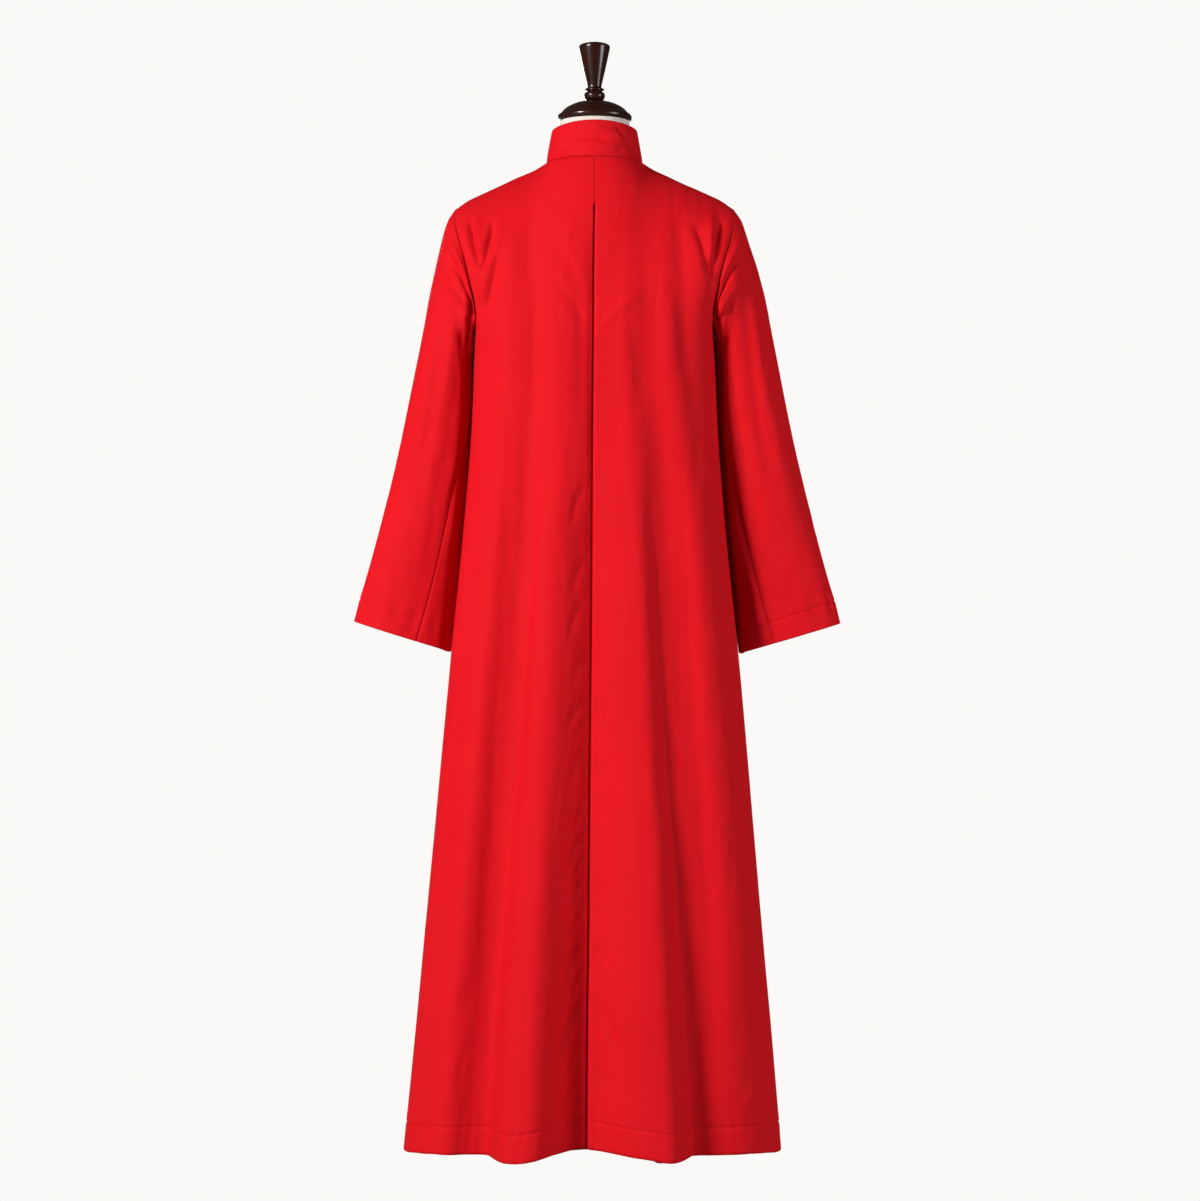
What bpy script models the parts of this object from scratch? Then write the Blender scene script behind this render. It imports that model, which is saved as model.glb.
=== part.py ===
"""A red cassock on a limbless dress form: metres, +Z up, front towards -Y, wearer's left at +X.

The origin is the centre of the stand's underside.
"""

from math import asin, cos, degrees, pi, radians, sin

import bmesh
import bpy
import numpy as np
from mathutils import Vector

# --- driving dimensions -------------------------------------------------------------------
WALL = 0.0016  # one layer of the cloth
HEM_WALL = 0.0026  # cloth with its turned-up hem inside
COLLAR_WALL = 0.0024  # collar cloth with its stiffening
SEAM = 0.0003  # clearance between pieces at a seam
HEM_DEPTH = 0.040  # the turned-up hem
CUFF_DEPTH = 0.036  # the turned-up cuff
SLEEVE_LENGTH = 0.62
SLEEVE_HOLD = 0.16  # share of the sleeve that keeps to the armhole's shape
RIGHT_SLEEVE_OUT = 0.0080  # the right sleeve hangs this much further out
RIGHT_SLEEVE_DROP = 0.0030  # and lower
SLEEVE_CLEAR = 0.0007  # between the armhole and the sleeve head

UNDERARM_Z = 1.232
NECK_HALF = 0.0722  # half width of the neck seam
NECK_BACK = 0.0750  # the neck seam's reach behind the shoulder line
NECK_FRONT = 0.0860  # and in front of it
NECK_Z = 1.4880
NECK_SHARE = 0.52  # how far round a panel's top edge the shoulder seam ends
NECK_DROP = 0.0250  # how far the neck seam falls to the centre front
SHOULDER_TIP = (0.2070, 1.4210)  # x, z of the shoulder seam's outer end

SLIT = 0.0008  # half the slit between the two pleat edges
PLEAT_TURN = 0.0040  # radius of each rolled pleat edge
PLEAT_TOP = 0.048  # width of the cloth turned under at the neck
PLEAT_HEM = 0.090  # and at the hem
PLEAT_PARTS = (0.0, 0.2, 0.4, 0.6, 0.8, 1.0)  # its columns
UNDERLAY_SINK = 0.0102  # underlay below the panels' outer face

FRONT_LAP = 0.018  # each front passes the centre by this
LAP_SINK = HEM_WALL + 0.0010  # the right front lies this far inside the left
BUTTON_RADIUS = 0.0075
BUTTON_HEIGHT = 0.0045
BUTTON_COUNT = 13
BUTTON_TOP_Z = 1.435
BUTTON_LOW_Z = 0.300

COLLAR_RISE = 0.0500  # collar height
COLLAR_LEAN = 0.0083  # how far its top edge leans in

NECK_RADIUS = 0.0525  # the form's neck
NECK_FORM_TOP = 1.5505
CAP_RADIUS = 0.0555
POLE_RADIUS = 0.0175
FLANGE_RADIUS = 0.034
FLANGE_HEIGHT = 0.010
BASE_LOW = 0.0140  # underside of the foot's arms
BASE_TOP = 0.0250
BASE_ARM_WIDTH = 0.030
BASE_FEET = ((0.112, 0.042), (-0.100, 0.044), (-0.125, -0.130), (0.125, -0.130))  # arm ends
PAD_RADIUS = 0.0105
TORSO_BOTTOM = 0.790
TORSO_REST = WALL + 0.0008  # depth of the form's shoulders below the cloth's outer face

# Sections of the skirt and chest: half widths on the wearer's left and right, and the depth of
# the side seam, centre back and centre front.
SECTION = ("z", "left", "right", "side", "back", "front")
SECTIONS = (
    (0.010, 0.2845, 0.2775, 0.036, 0.162, -0.214),
    (0.130, 0.2720, 0.2680, 0.038, 0.160, -0.206),
    (0.384, 0.2475, 0.2455, 0.040, 0.154, -0.192),
    (0.744, 0.2135, 0.2145, 0.040, 0.138, -0.168),
    (0.950, 0.1935, 0.1935, 0.036, 0.126, -0.148),
    (1.100, 0.1825, 0.1830, 0.028, 0.119, -0.134),
    (1.185, 0.1798, 0.1802, 0.018, 0.120, -0.133),
    (1.232, 0.1790, 0.1790, 0.000, 0.122, -0.132),
)

# Crests of the folds. x is the crest's place at four heights, rise its height there, and the
# widths are those of its two flanks at the hem.
FOLD_HEIGHTS = (1.089, 0.690, 0.348, 0.030)
FOLD = ("x_waist", "x_thigh", "x_calf", "x_hem", "rise_waist", "rise_thigh", "rise_calf",
        "rise_hem", "inner", "outer")
BACK_FOLDS = (
    (0.055, 0.071, 0.096, 0.114, 0.008, 0.024, 0.038, 0.056, 0.106, 0.046),
    (0.137, 0.172, 0.199, 0.228, 0.004, 0.009, 0.012, 0.012, 0.050, 0.040),
    (-0.050, -0.066, -0.080, -0.096, 0.008, 0.024, 0.040, 0.057, 0.094, 0.047),
    (-0.139, -0.174, -0.201, -0.217, 0.004, 0.008, 0.011, 0.011, 0.046, 0.042),
)
FRONT_FOLDS = (
    (0.078, 0.096, 0.112, 0.128, 0.004, 0.013, 0.024, 0.032, 0.060, 0.050),
    (0.150, 0.182, 0.206, 0.226, 0.003, 0.007, 0.010, 0.012, 0.044, 0.036),
    (-0.070, -0.090, -0.110, -0.120, 0.004, 0.012, 0.022, 0.030, 0.058, 0.052),
    (-0.146, -0.178, -0.200, -0.216, 0.003, 0.007, 0.011, 0.012, 0.046, 0.036),
)

BLUFF = 1.6  # the higher, the broader a fold's top and the steeper its outer flank
SOFT = 1.25  # the same for its inner flank

# Hem height from the centre line out to the side, by share of the half width.
HEM_LINE = ((0.0, 0.042), (0.25, 0.039), (0.40, 0.033), (0.80, 0.031), (1.0, 0.021))

# Armhole: x and reach behind or in front of the shoulder line, by height.
ARMHOLE = ("z", "x", "reach")
ARMHOLES = (
    (1.2320, 0.1790, 0.000),
    (1.2400, 0.1765, 0.034),
    (1.2520, 0.1750, 0.052),
    (1.2750, 0.1780, 0.066),
    (1.3000, 0.1835, 0.071),
    (1.3330, 0.1910, 0.069),
    (1.3750, 0.2030, 0.054),
    (1.3990, 0.2080, 0.037),
    (1.4130, 0.2084, 0.021),
    (1.4210, 0.2070, 0.000),
)

# Sleeve sections from shoulder to cuff: outer and inner edge, the middle's y, and half depth.
SLEEVE = ("share", "outer_x", "outer_z", "inner_x", "inner_z", "middle_y", "half_depth")
SLEEVES = (
    (0.00, 0.2075, 1.4210, 0.1796, 1.2320, -0.002, 0.0700),
    (0.04, 0.2200, 1.4010, 0.1808, 1.2240, -0.003, 0.0690),
    (0.10, 0.2310, 1.3640, 0.1808, 1.2060, -0.008, 0.0660),
    (0.20, 0.2456, 1.3000, 0.1808, 1.1700, -0.014, 0.0610),
    (0.35, 0.2651, 1.2040, 0.1818, 1.1040, -0.016, 0.0550),
    (0.55, 0.2919, 1.0720, 0.1882, 0.9980, -0.014, 0.0490),
    (0.78, 0.3264, 0.9290, 0.1995, 0.8700, -0.010, 0.0420),
    (1.00, 0.3609, 0.8020, 0.2125, 0.7560, -0.004, 0.0360),
)
HIND_SEAM = ((0.0, 172.0), (0.35, 150.0), (0.60, 126.0), (1.0, 107.0))
FORE_SEAM = ((0.0, 200.0), (1.0, 244.0))

# Dress form, from its underside to the chest: half width, reach behind and in front, and how
# square the ring is.
TORSO = ("z", "half", "back", "front", "power")
TORSO_RINGS = (
    (0.790, 0.1440, 0.092, -0.088, 2.2),
    (0.797, 0.1560, 0.104, -0.100, 2.2),
    (0.880, 0.1620, 0.110, -0.108, 2.2),
    (1.060, 0.1330, 0.090, -0.092, 2.2),
    (1.232, 0.1560, 0.104, -0.112, 2.2),
    (1.340, 0.1700, 0.101, -0.106, 2.1),
)

CHEST_RING = (0.184, 0.084, -0.090, 2.0)  # half width, back, front, power
CHEST_DROP = 0.030  # below the shoulder line
RIDGE = (0.187, 0.178, 0.160, 0.135, 0.110, 0.090, 0.080, 0.076)  # half widths up the shoulders
RIDGE_BACK = (0.060, 0.052)  # reach at the shoulder tip and at the neck
RIDGE_FRONT = (-0.060, -0.054)
RIDGE_POWER = 1.42
NECK_ROOT = (0.0620, 0.0545, -0.0545, 1.8)
NECK_ROOT_RISE = 0.0015
NECK_RISE = 0.025  # where the neck's straight part starts, above the neck seam

# Turned pieces: radius, and height above the piece's underside, from top to bottom.
CAP_HEIGHT = 0.0310
CAP_PROFILE = (
    (0.0, CAP_HEIGHT), (0.0150, 0.0300), (0.0330, 0.0250), (0.0465, 0.0175), (0.0530, 0.0120),
    (CAP_RADIUS, 0.0065), (0.0545, 0.0015), (0.0520, 0.0), (0.0, 0.0),
)
FINIAL_PROFILE = (
    (0.0, 0.0880), (0.0120, 0.0868), (0.0200, 0.0835), (0.0232, 0.0790), (0.0222, 0.0740),
    (0.0185, 0.0560), (0.0140, 0.0340), (0.0105, 0.0200), (0.0140, 0.0175), (0.0140, 0.0150),
    (0.0110, 0.0130), (0.0155, 0.0085), (0.0145, 0.0030), (0.0100, 0.0), (0.0, 0.0),
)
POLE_FILLET = (0.004, 0.006)  # how far the pole spreads, and over what height, above its flange
FLANGE_BEVEL = 0.002

# --- numbers along a table ----------------------------------------------------------------


def smooth(share):
    """0 to 1 with level ends."""
    share = min(max(share, 0.0), 1.0)
    return share * share * (3 - 2 * share)


def along(rows, at, column=1):
    """A table's column at a place along its first one, on a smooth curve through its rows."""
    places = [row[0] for row in rows]
    values = [row[column] for row in rows]
    if places[0] > places[-1]:
        places, values = places[::-1], values[::-1]
    at = min(max(at, places[0]), places[-1])
    i = min(max(np.searchsorted(places, at) - 1, 0), len(places) - 2)
    steps = [(values[j + 1] - values[j]) / (places[j + 1] - places[j]) for j in range(len(places) - 1)]
    slopes = [steps[0]]
    for a, b in zip(steps, steps[1:]):
        slopes.append(0.0 if a * b <= 0 else 2 * a * b / (a + b))
    slopes.append(steps[-1])
    width = places[i + 1] - places[i]
    s = (at - places[i]) / width
    rise = values[i + 1] - values[i]
    start, end = slopes[i] * width, slopes[i + 1] * width
    return values[i] + start * s + (3 * rise - 2 * start - end) * s**2 + (start + end - 2 * rise) * s**3


def signed_power(value, power):
    return abs(value) ** power * (1 if value >= 0 else -1)


# --- the body's surface -------------------------------------------------------------------


def shoulder_z(x):
    """Height of the shoulder line, which curves up into the neck and over at the tip."""
    tip_x, tip_z = SHOULDER_TIP
    straight = tip_z + 0.0040 + 0.450 * (tip_x - x)
    near_neck = 0.0042 * smooth((0.094 - x) / 0.024) ** 2
    at_tip = 0.0040 * smooth((x - 0.180) / (tip_x - 0.180)) ** 2
    return straight + near_neck - at_tip


def fold_depth(x, z, folds):
    """How far the folds stand out of the plain section at this place."""
    total = 0.0
    for row in folds:
        fold = dict(zip(FOLD, row))
        crest = along(list(zip(FOLD_HEIGHTS, row[:4])), z)
        rise = along(list(zip(FOLD_HEIGHTS, row[4:8])), z)
        rise *= 1 - smooth((z - 1.00) / 0.26)
        outward = (x - crest) * (1 if fold["x_hem"] > 0 else -1)
        flank = fold["outer"] if outward > 0 else fold["inner"]
        flank *= 1.0 - 0.42 * smooth(z / 1.1)
        share = min(abs(outward) / flank, 1.0) ** (BLUFF if outward > 0 else SOFT)
        total += rise * 0.5 * (1 + cos(pi * share))
    return total


def body_point(side, face, u, z_share):
    """A point of the body cloth. u runs from the side seam or armhole at 0 to the centre at 1.

    side is 1 on the wearer's left and -1 on the right, face is 1 behind and -1 in front.
    z_share runs from the hem at 0 to the underarm at 1, and on to the top edge at 2.
    """
    angle = u * pi / 2
    share = cos(angle) ** 0.80
    depth_share = sin(angle) ** 0.80
    centre = SLIT + PLEAT_TURN if face > 0 else 0.0
    folds = BACK_FOLDS if face > 0 else FRONT_FOLDS
    gap = face * SEAM / 2
    hem_z = along(HEM_LINE, share)
    if z_share <= 1:
        z = hem_z + (UNDERARM_Z - hem_z) * z_share
        half = along(SECTIONS, z, SECTION.index("left" if side > 0 else "right"))
        edge_y = along(SECTIONS, z, SECTION.index("side"))
        middle_y = along(SECTIONS, z, SECTION.index("back" if face > 0 else "front"))
        x = centre + (half - centre) * share
        fade = smooth((1 - share) / 0.12)
        y = edge_y + (middle_y - edge_y) * depth_share
        y += face * fade * fold_depth(side * x, z, folds)
        return Vector((side * x, y + gap, z))
    turn = (z_share - 1) * pi / 2
    height = sin(turn)
    z_edge = UNDERARM_Z + (SHOULDER_TIP[1] - UNDERARM_Z) * height
    edge_x = along(ARMHOLES, z_edge, ARMHOLE.index("x"))
    reach = along(ARMHOLES, z_edge, ARMHOLE.index("reach"))
    if u < NECK_SHARE:
        top_x = SHOULDER_TIP[0] + (NECK_HALF - SHOULDER_TIP[0]) * u / NECK_SHARE
        top_y = 0.0
        top_z = shoulder_z(top_x)
    else:
        round_neck = (u - NECK_SHARE) / (1 - NECK_SHARE) * pi / 2
        top_x = centre + (NECK_HALF - centre) * cos(round_neck)
        top_y = face * (NECK_BACK if face > 0 else NECK_FRONT) * sin(round_neck)
        top_z = NECK_Z - (NECK_DROP * sin(round_neck) ** 2 if face < 0 else 0.0)
    low = body_point(side, face, u, 1.0)
    top_share = height**1.5
    low_x = centre + (edge_x - centre) * share
    high_x = centre + (top_x - centre) * edge_x / SHOULDER_TIP[0]
    x = low_x + (high_x - low_x) * top_share
    power = 1.0 + 0.6 * smooth((u - 0.30) / 0.40)
    fall = max(cos(turn), 0.0) ** power
    y = top_y + (low.y - gap - top_y) * fall
    y += face * reach * share**5
    z = UNDERARM_Z + (top_z - UNDERARM_Z) * height
    return Vector((side * x, y + gap, z))


# --- walls ----------------------------------------------------------------------------------


def grid_normals(points):
    """Unit normals of a grid of points, from its neighbours."""
    across = np.gradient(points, axis=1)
    down = np.gradient(points, axis=0)
    normals = np.cross(across, down)
    return normals / np.linalg.norm(normals, axis=2, keepdims=True)


def add_object(name, mesh, material, collection):
    obj = bpy.data.objects.new(name, mesh)
    obj.data.materials.append(material)
    collection.objects.link(obj)
    return obj


def wall_object(name, points, thickness, material, collection, square=(), past=0):
    """A closed wall: the grid is its outer face, and its inner face lies a thickness inside.

    points is a grid of rows by columns whose normals point out, and thickness one number per row.
    square names the places whose normals have no y, as at a side seam. past is how many columns
    at each side lie past the seam: they only set the direction of the wall there.
    """
    points = np.array(points, dtype=float)
    normals = grid_normals(points)
    if past:
        points, normals = points[:, past:-past], normals[:, past:-past]
    for row, column in square:
        normals[row, column, 1] = 0.0
        normals[row, column] /= np.linalg.norm(normals[row, column])
    inner = points - normals * np.reshape(thickness, (-1, 1, 1))
    rows, columns = points.shape[:2]
    bm = bmesh.new()
    outer_points = [[bm.verts.new(p) for p in row] for row in points]
    inner_points = [[bm.verts.new(p) for p in row] for row in inner]
    for i in range(rows - 1):
        for j in range(columns - 1):
            for grid in (outer_points, inner_points):
                bm.faces.new((grid[i][j], grid[i][j + 1], grid[i + 1][j + 1], grid[i + 1][j]))
    for j in range(columns - 1):
        for i in (0, rows - 1):
            bm.faces.new((outer_points[i][j], outer_points[i][j + 1], inner_points[i][j + 1],
                          inner_points[i][j]))
    for i in range(rows - 1):
        for j in (0, columns - 1):
            bm.faces.new((outer_points[i][j], outer_points[i + 1][j], inner_points[i + 1][j],
                          inner_points[i][j]))
    bmesh.ops.recalc_face_normals(bm, faces=bm.faces)
    mesh = bpy.data.meshes.new(name)
    bm.to_mesh(mesh)
    bm.free()
    mesh.shade_smooth()
    mesh.set_sharp_from_angle(angle=radians(50))
    return add_object(name, mesh, material, collection)


def facing_out(points, flip):
    """The grid with its columns turned round where its normals would point in."""
    return [row[::-1] for row in points] if flip else points


def panel_at(side, face, share, x):
    """The body's point this far from the centre line."""
    low, high = 0.0, 1.0
    for _ in range(30):
        middle = (low + high) / 2
        if abs(body_point(side, face, middle, share).x) > x:
            low = middle
        else:
            high = middle
    return body_point(side, face, high, share)


# --- body panels ----------------------------------------------------------------------------


def body_rows():
    """The shares of height for the rows, and the wall's thickness at each."""
    hem_share = HEM_DEPTH / UNDERARM_Z
    shares = [0.0, hem_share, hem_share + 0.004]
    shares += [hem_share + (1 - hem_share) * i / 9 for i in range(1, 9)]
    low_z, high_z = ARMHOLES[0][0], ARMHOLES[-1][0]
    shares += [1 + asin((row[0] - low_z) / (high_z - low_z)) * 2 / pi for row in ARMHOLES]
    return shares, [HEM_WALL if share <= hem_share else WALL for share in shares]


def pleat_width(z):
    return PLEAT_TOP + (PLEAT_HEM - PLEAT_TOP) * (1 - z / NECK_Z)


def back_panel(name, side, material, collection):
    """A back panel, whose centre edge rolls under into its half of the inverted pleat."""
    shares, thickness = body_rows()
    columns = [i / 8 * 0.32 for i in range(8)] + [0.32 + 0.68 * i / 22 for i in range(23)]
    grid = []
    for share in shares:
        row = [body_point(side, 1, u, share) for u in columns]
        edge = row[-1]
        for step in range(1, 5):
            turn = pi * step / 4
            row.append(edge + Vector((-side * PLEAT_TURN * sin(turn), PLEAT_TURN * (cos(turn) - 1), 0)))
        row += [under_panel(side, share, part, 2 * PLEAT_TURN) for part in PLEAT_PARTS[1:]]
        grid.append(row)
    return wall_object(name, facing_out(grid, side < 0), thickness, material, collection,
                       seam_points(shares, columns, len(grid[0]), side < 0))


def seam_points(shares, columns, count, turned_round):
    """Where the wall stands square to the side seam and the shoulder seam."""
    points = [(i, 0) for i, share in enumerate(shares) if share <= 1]
    points += [(len(shares) - 1, j) for j, u in enumerate(columns) if u < NECK_SHARE]
    return [(i, count - 1 - j if turned_round else j) for i, j in points]


def under_panel(side, share, part, sink):
    """A point below a back panel, this part of the pleat's width from the slit."""
    centre = SLIT + PLEAT_TURN
    width = pleat_width(body_point(side, 1, 1.0, share).z) - centre
    return panel_at(side, 1, share, centre + part * width) - Vector((0, sink, 0))


def pleat_underlay(name, material, collection):
    """The cloth behind the slit, sewn to both turned-under edges."""
    shares, thickness = body_rows()
    grid = []
    for share in shares:
        left = [under_panel(1, share, part, UNDERLAY_SINK) for part in reversed(PLEAT_PARTS)]
        right = [under_panel(-1, share, part, UNDERLAY_SINK) for part in PLEAT_PARTS]
        grid.append(left + right)
    return wall_object(name, grid, thickness, material, collection)


def front_panel(name, side, material, collection):
    """A front panel, passing the centre line to lap over or under the other."""
    shares, thickness = body_rows()
    columns = [i / 12 * 0.84 for i in range(13)] + [0.90, 0.94, 0.97, 1.0]
    grid = []
    for share in shares:
        row = [body_point(side, -1, u, share) for u in columns]
        for part in (0.5, 1.0):
            across = panel_at(-side, -1, share, part * FRONT_LAP)
            row.append(Vector((-side * part * FRONT_LAP, across.y, across.z)))
        if side < 0:
            for point in row:
                point.y += LAP_SINK * smooth((FRONT_LAP * 2.4 + point.x) / (FRONT_LAP * 1.1))
        grid.append(row)
    return wall_object(name, facing_out(grid, side > 0), thickness, material, collection,
                       seam_points(shares, columns, len(grid[0]), side > 0))


# --- sleeves --------------------------------------------------------------------------------


def sleeve_point(side, turn, share):
    """A point of the sleeve. turn is in degrees from the top or outer line, backwards."""
    columns = SLEEVE[1:]
    values = [along(SLEEVES, share, SLEEVE.index(name)) for name in columns]
    outer_x, outer_z, inner_x, inner_z, middle_y, half_depth = values
    outer = Vector((outer_x, 0, outer_z))
    inner = Vector((inner_x, 0, inner_z))
    angle = radians(turn)
    place = (outer + inner) / 2 + (outer - inner) / 2 * cos(angle)
    place.y = middle_y + half_depth * sin(angle)
    over = (1 + cos(angle)) / 2
    if side < 0:
        place.x += RIGHT_SLEEVE_OUT * smooth(share / 0.22) * over
        place.z -= RIGHT_SLEEVE_DROP * smooth(share)
    held = 1 - smooth(share / SLEEVE_HOLD)
    if held > 0:
        rim = armhole_point(turn)
        head = dict(zip(SLEEVE, SLEEVES[0]))
        rim.x += (outer.x - head["outer_x"]) * over + (inner.x - head["inner_x"]) * (1 - over)
        rim.z += (outer.z - head["outer_z"]) * over + (inner.z - head["inner_z"]) * (1 - over)
        place = place.lerp(rim, held)
    return Vector((side * place.x, place.y, place.z))


def armhole_point(turn):
    """A place on the armhole seam's straight runs from corner to corner, on the sleeve's side."""
    low_z, high_z = ARMHOLES[0][0], ARMHOLES[-1][0]
    z = (low_z + high_z) / 2 + (high_z - low_z) / 2 * cos(radians(turn))
    x = float(np.interp(z, [row[0] for row in ARMHOLES], [row[1] for row in ARMHOLES]))
    reach = float(np.interp(z, [row[0] for row in ARMHOLES], [row[2] for row in ARMHOLES]))
    return Vector((x + SLEEVE_CLEAR, reach * (1 if sin(radians(turn)) >= 0 else -1), z))


def sleeve_half(name, side, upper, material, collection):
    """The upper half, over the outside of the arm, or the under half, next to the body."""
    cuff_share = 1 - CUFF_DEPTH / SLEEVE_LENGTH
    shares = [0.0, 0.025, 0.06, 0.12, 0.20, 0.30, 0.42, 0.55, 0.68, 0.82]
    shares += [cuff_share - 0.004, cuff_share, 1.0]
    thickness = [HEM_WALL if share >= cuff_share else WALL for share in shares]
    count = 13 if upper else 7
    grid = []
    for share in shares:
        hind = along(HIND_SEAM, share)
        fore = along(FORE_SEAM, share)
        half_depth = along(SLEEVES, share, SLEEVE.index("half_depth"))
        clear = degrees(SEAM / 2 / max(half_depth, CUFF_DEPTH))
        start, end = (fore - 360 + clear, hind - clear) if upper else (hind + clear, fore - clear)
        step = (end - start) / count
        grid.append([sleeve_point(side, start + step * i, share) for i in range(-1, count + 2)])
    return wall_object(name, facing_out(grid, side > 0), thickness, material, collection, past=1)


# --- collar and buttons -----------------------------------------------------------------------


def collar(name, material, collection):
    """The stand collar, open by a hair at the centre front."""
    columns = 30
    grid = []
    for rise in (0.0, 0.33, 0.67, 1.0):
        row = []
        for i in range(columns + 1):
            angle = -pi / 2 + radians(0.4) + (2 * pi - radians(0.8)) * i / columns
            back = sin(angle) > 0
            lean = COLLAR_LEAN * rise
            x = (NECK_HALF + SEAM / 2 - lean) * cos(angle)
            y = ((NECK_BACK if back else NECK_FRONT) + SEAM / 2 - lean) * sin(angle)
            base = NECK_Z + 0.0006 - (0.0 if back else NECK_DROP * sin(angle) ** 2)
            row.append(Vector((x, y, base + COLLAR_RISE * rise)))
        grid.append(row)
    return wall_object(name, grid, [COLLAR_WALL] * 4, material, collection)


def turned(name, profile, steps, material, collection):
    """A turned piece: its profile of (radius, height) from top to bottom, swept round Z."""
    mesh = bpy.data.meshes.new(name)
    points = [(radius, 0, height) for radius, height in profile]
    mesh.from_pydata(points, [(i, i + 1) for i in range(len(points) - 1)], [])
    obj = add_object(name, mesh, material, collection)
    screw = obj.modifiers.new("Screw", "SCREW")
    screw.steps = steps
    screw.render_steps = steps
    screw.use_merge_vertices = True
    screw.merge_threshold = 0.00001
    screw.use_smooth_shade = True
    return obj


def button_places():
    """Where the buttons lie: a point of the outer front and its normal, evenly spaced."""
    gap = (BUTTON_TOP_Z - BUTTON_LOW_Z) / (BUTTON_COUNT - 1)
    places = []
    for i in range(BUTTON_COUNT):
        z = BUTTON_TOP_Z - i * gap
        below, above = front_line(z - 0.004), front_line(z + 0.004)
        slope = (above - below).normalized()
        normal = Vector((0, -slope.z, slope.y))
        places.append((front_line(z), normal))
    return places


def front_line(z):
    """The outer front's centre line at this height, on the straight runs between its rows."""
    rows = [body_point(1, -1, 1.0, share) for share in body_rows()[0]]
    return Vector((0, float(np.interp(z, [p.z for p in rows], [p.y for p in rows])), z))


def buttons(material, collection):
    """Domed buttons down the lap, each just off the cloth."""
    half = BUTTON_HEIGHT / 2
    profile = ((0.0, half), (BUTTON_RADIUS * 0.62, half * 0.80), (BUTTON_RADIUS, 0.0),
               (BUTTON_RADIUS * 0.80, -half), (0.0, -half))
    for number, (place, normal) in enumerate(button_places(), 1):
        button = turned(f"button_{number:02d}", profile, 10, material, collection)
        button.rotation_euler = normal.to_track_quat("Z", "Y").to_euler()
        button.location = place + normal * (half + SEAM + 0.0004)


# --- dress form -------------------------------------------------------------------------------


def form_section(half, back, front, power, z, count=28):
    row = []
    for i in range(count):
        angle = 2 * pi * i / count
        reach = back if sin(angle) > 0 else -front
        row.append(Vector((half * signed_power(cos(angle), 2 / power),
                           reach * signed_power(sin(angle), 2 / power), z)))
    return row


def form_torso(name, material, collection):
    """A plain solid torso with its neck, whose shoulder ridges carry the cloth."""
    rows = []
    for values in TORSO_RINGS:
        ring = dict(zip(TORSO, values))
        rows.append(form_section(ring["half"], ring["back"], ring["front"], ring["power"], ring["z"]))
    rows.append(form_section(*CHEST_RING, shoulder_z(RIDGE[0]) - CHEST_DROP))
    for x in RIDGE:
        share = (RIDGE[0] - x) / (RIDGE[0] - RIDGE[-1])
        back = RIDGE_BACK[0] + (RIDGE_BACK[1] - RIDGE_BACK[0]) * share
        front = RIDGE_FRONT[0] + (RIDGE_FRONT[1] - RIDGE_FRONT[0]) * share
        rows.append(form_section(x, back, front, RIDGE_POWER, shoulder_z(x) - TORSO_REST))
    rows.append(form_section(*NECK_ROOT, NECK_Z + NECK_ROOT_RISE))
    for z in (NECK_Z + NECK_RISE, NECK_FORM_TOP):
        rows.append(form_section(NECK_RADIUS, NECK_RADIUS, -NECK_RADIUS, 2.0, z))
    bm = bmesh.new()
    rings = [[bm.verts.new(p) for p in row] for row in rows]
    for low, high in zip(rings, rings[1:]):
        for j in range(len(low)):
            k = (j + 1) % len(low)
            bm.faces.new((low[j], low[k], high[k], high[j]))
    bm.faces.new(rings[0])
    bm.faces.new(rings[-1])
    bmesh.ops.recalc_face_normals(bm, faces=bm.faces)
    mesh = bpy.data.meshes.new(name)
    bm.to_mesh(mesh)
    bm.free()
    mesh.shade_smooth()
    mesh.set_sharp_from_angle(angle=radians(50))
    return add_object(name, mesh, material, collection)


def form_stand(wood, metal, collection):
    """Neck cap, finial and pole, each a turned piece."""
    cap_z = NECK_FORM_TOP + SEAM
    turned("neck_cap", [(r, cap_z + h) for r, h in CAP_PROFILE], 28, wood, collection)
    finial_z = cap_z + CAP_HEIGHT + SEAM
    turned("finial", [(r, finial_z + h) for r, h in FINIAL_PROFILE], 18, wood, collection)
    pole_top = TORSO_BOTTOM - SEAM
    pole_low = BASE_TOP + SEAM
    flange = pole_low + FLANGE_HEIGHT
    spread, spread_height = POLE_FILLET
    pole = ((0.0, pole_top), (POLE_RADIUS, pole_top), (POLE_RADIUS, flange + spread_height),
            (POLE_RADIUS + spread, flange), (FLANGE_RADIUS, flange - FLANGE_BEVEL),
            (FLANGE_RADIUS, pole_low), (0.0, pole_low))
    turned("pole", pole, 20, metal, collection)


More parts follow.
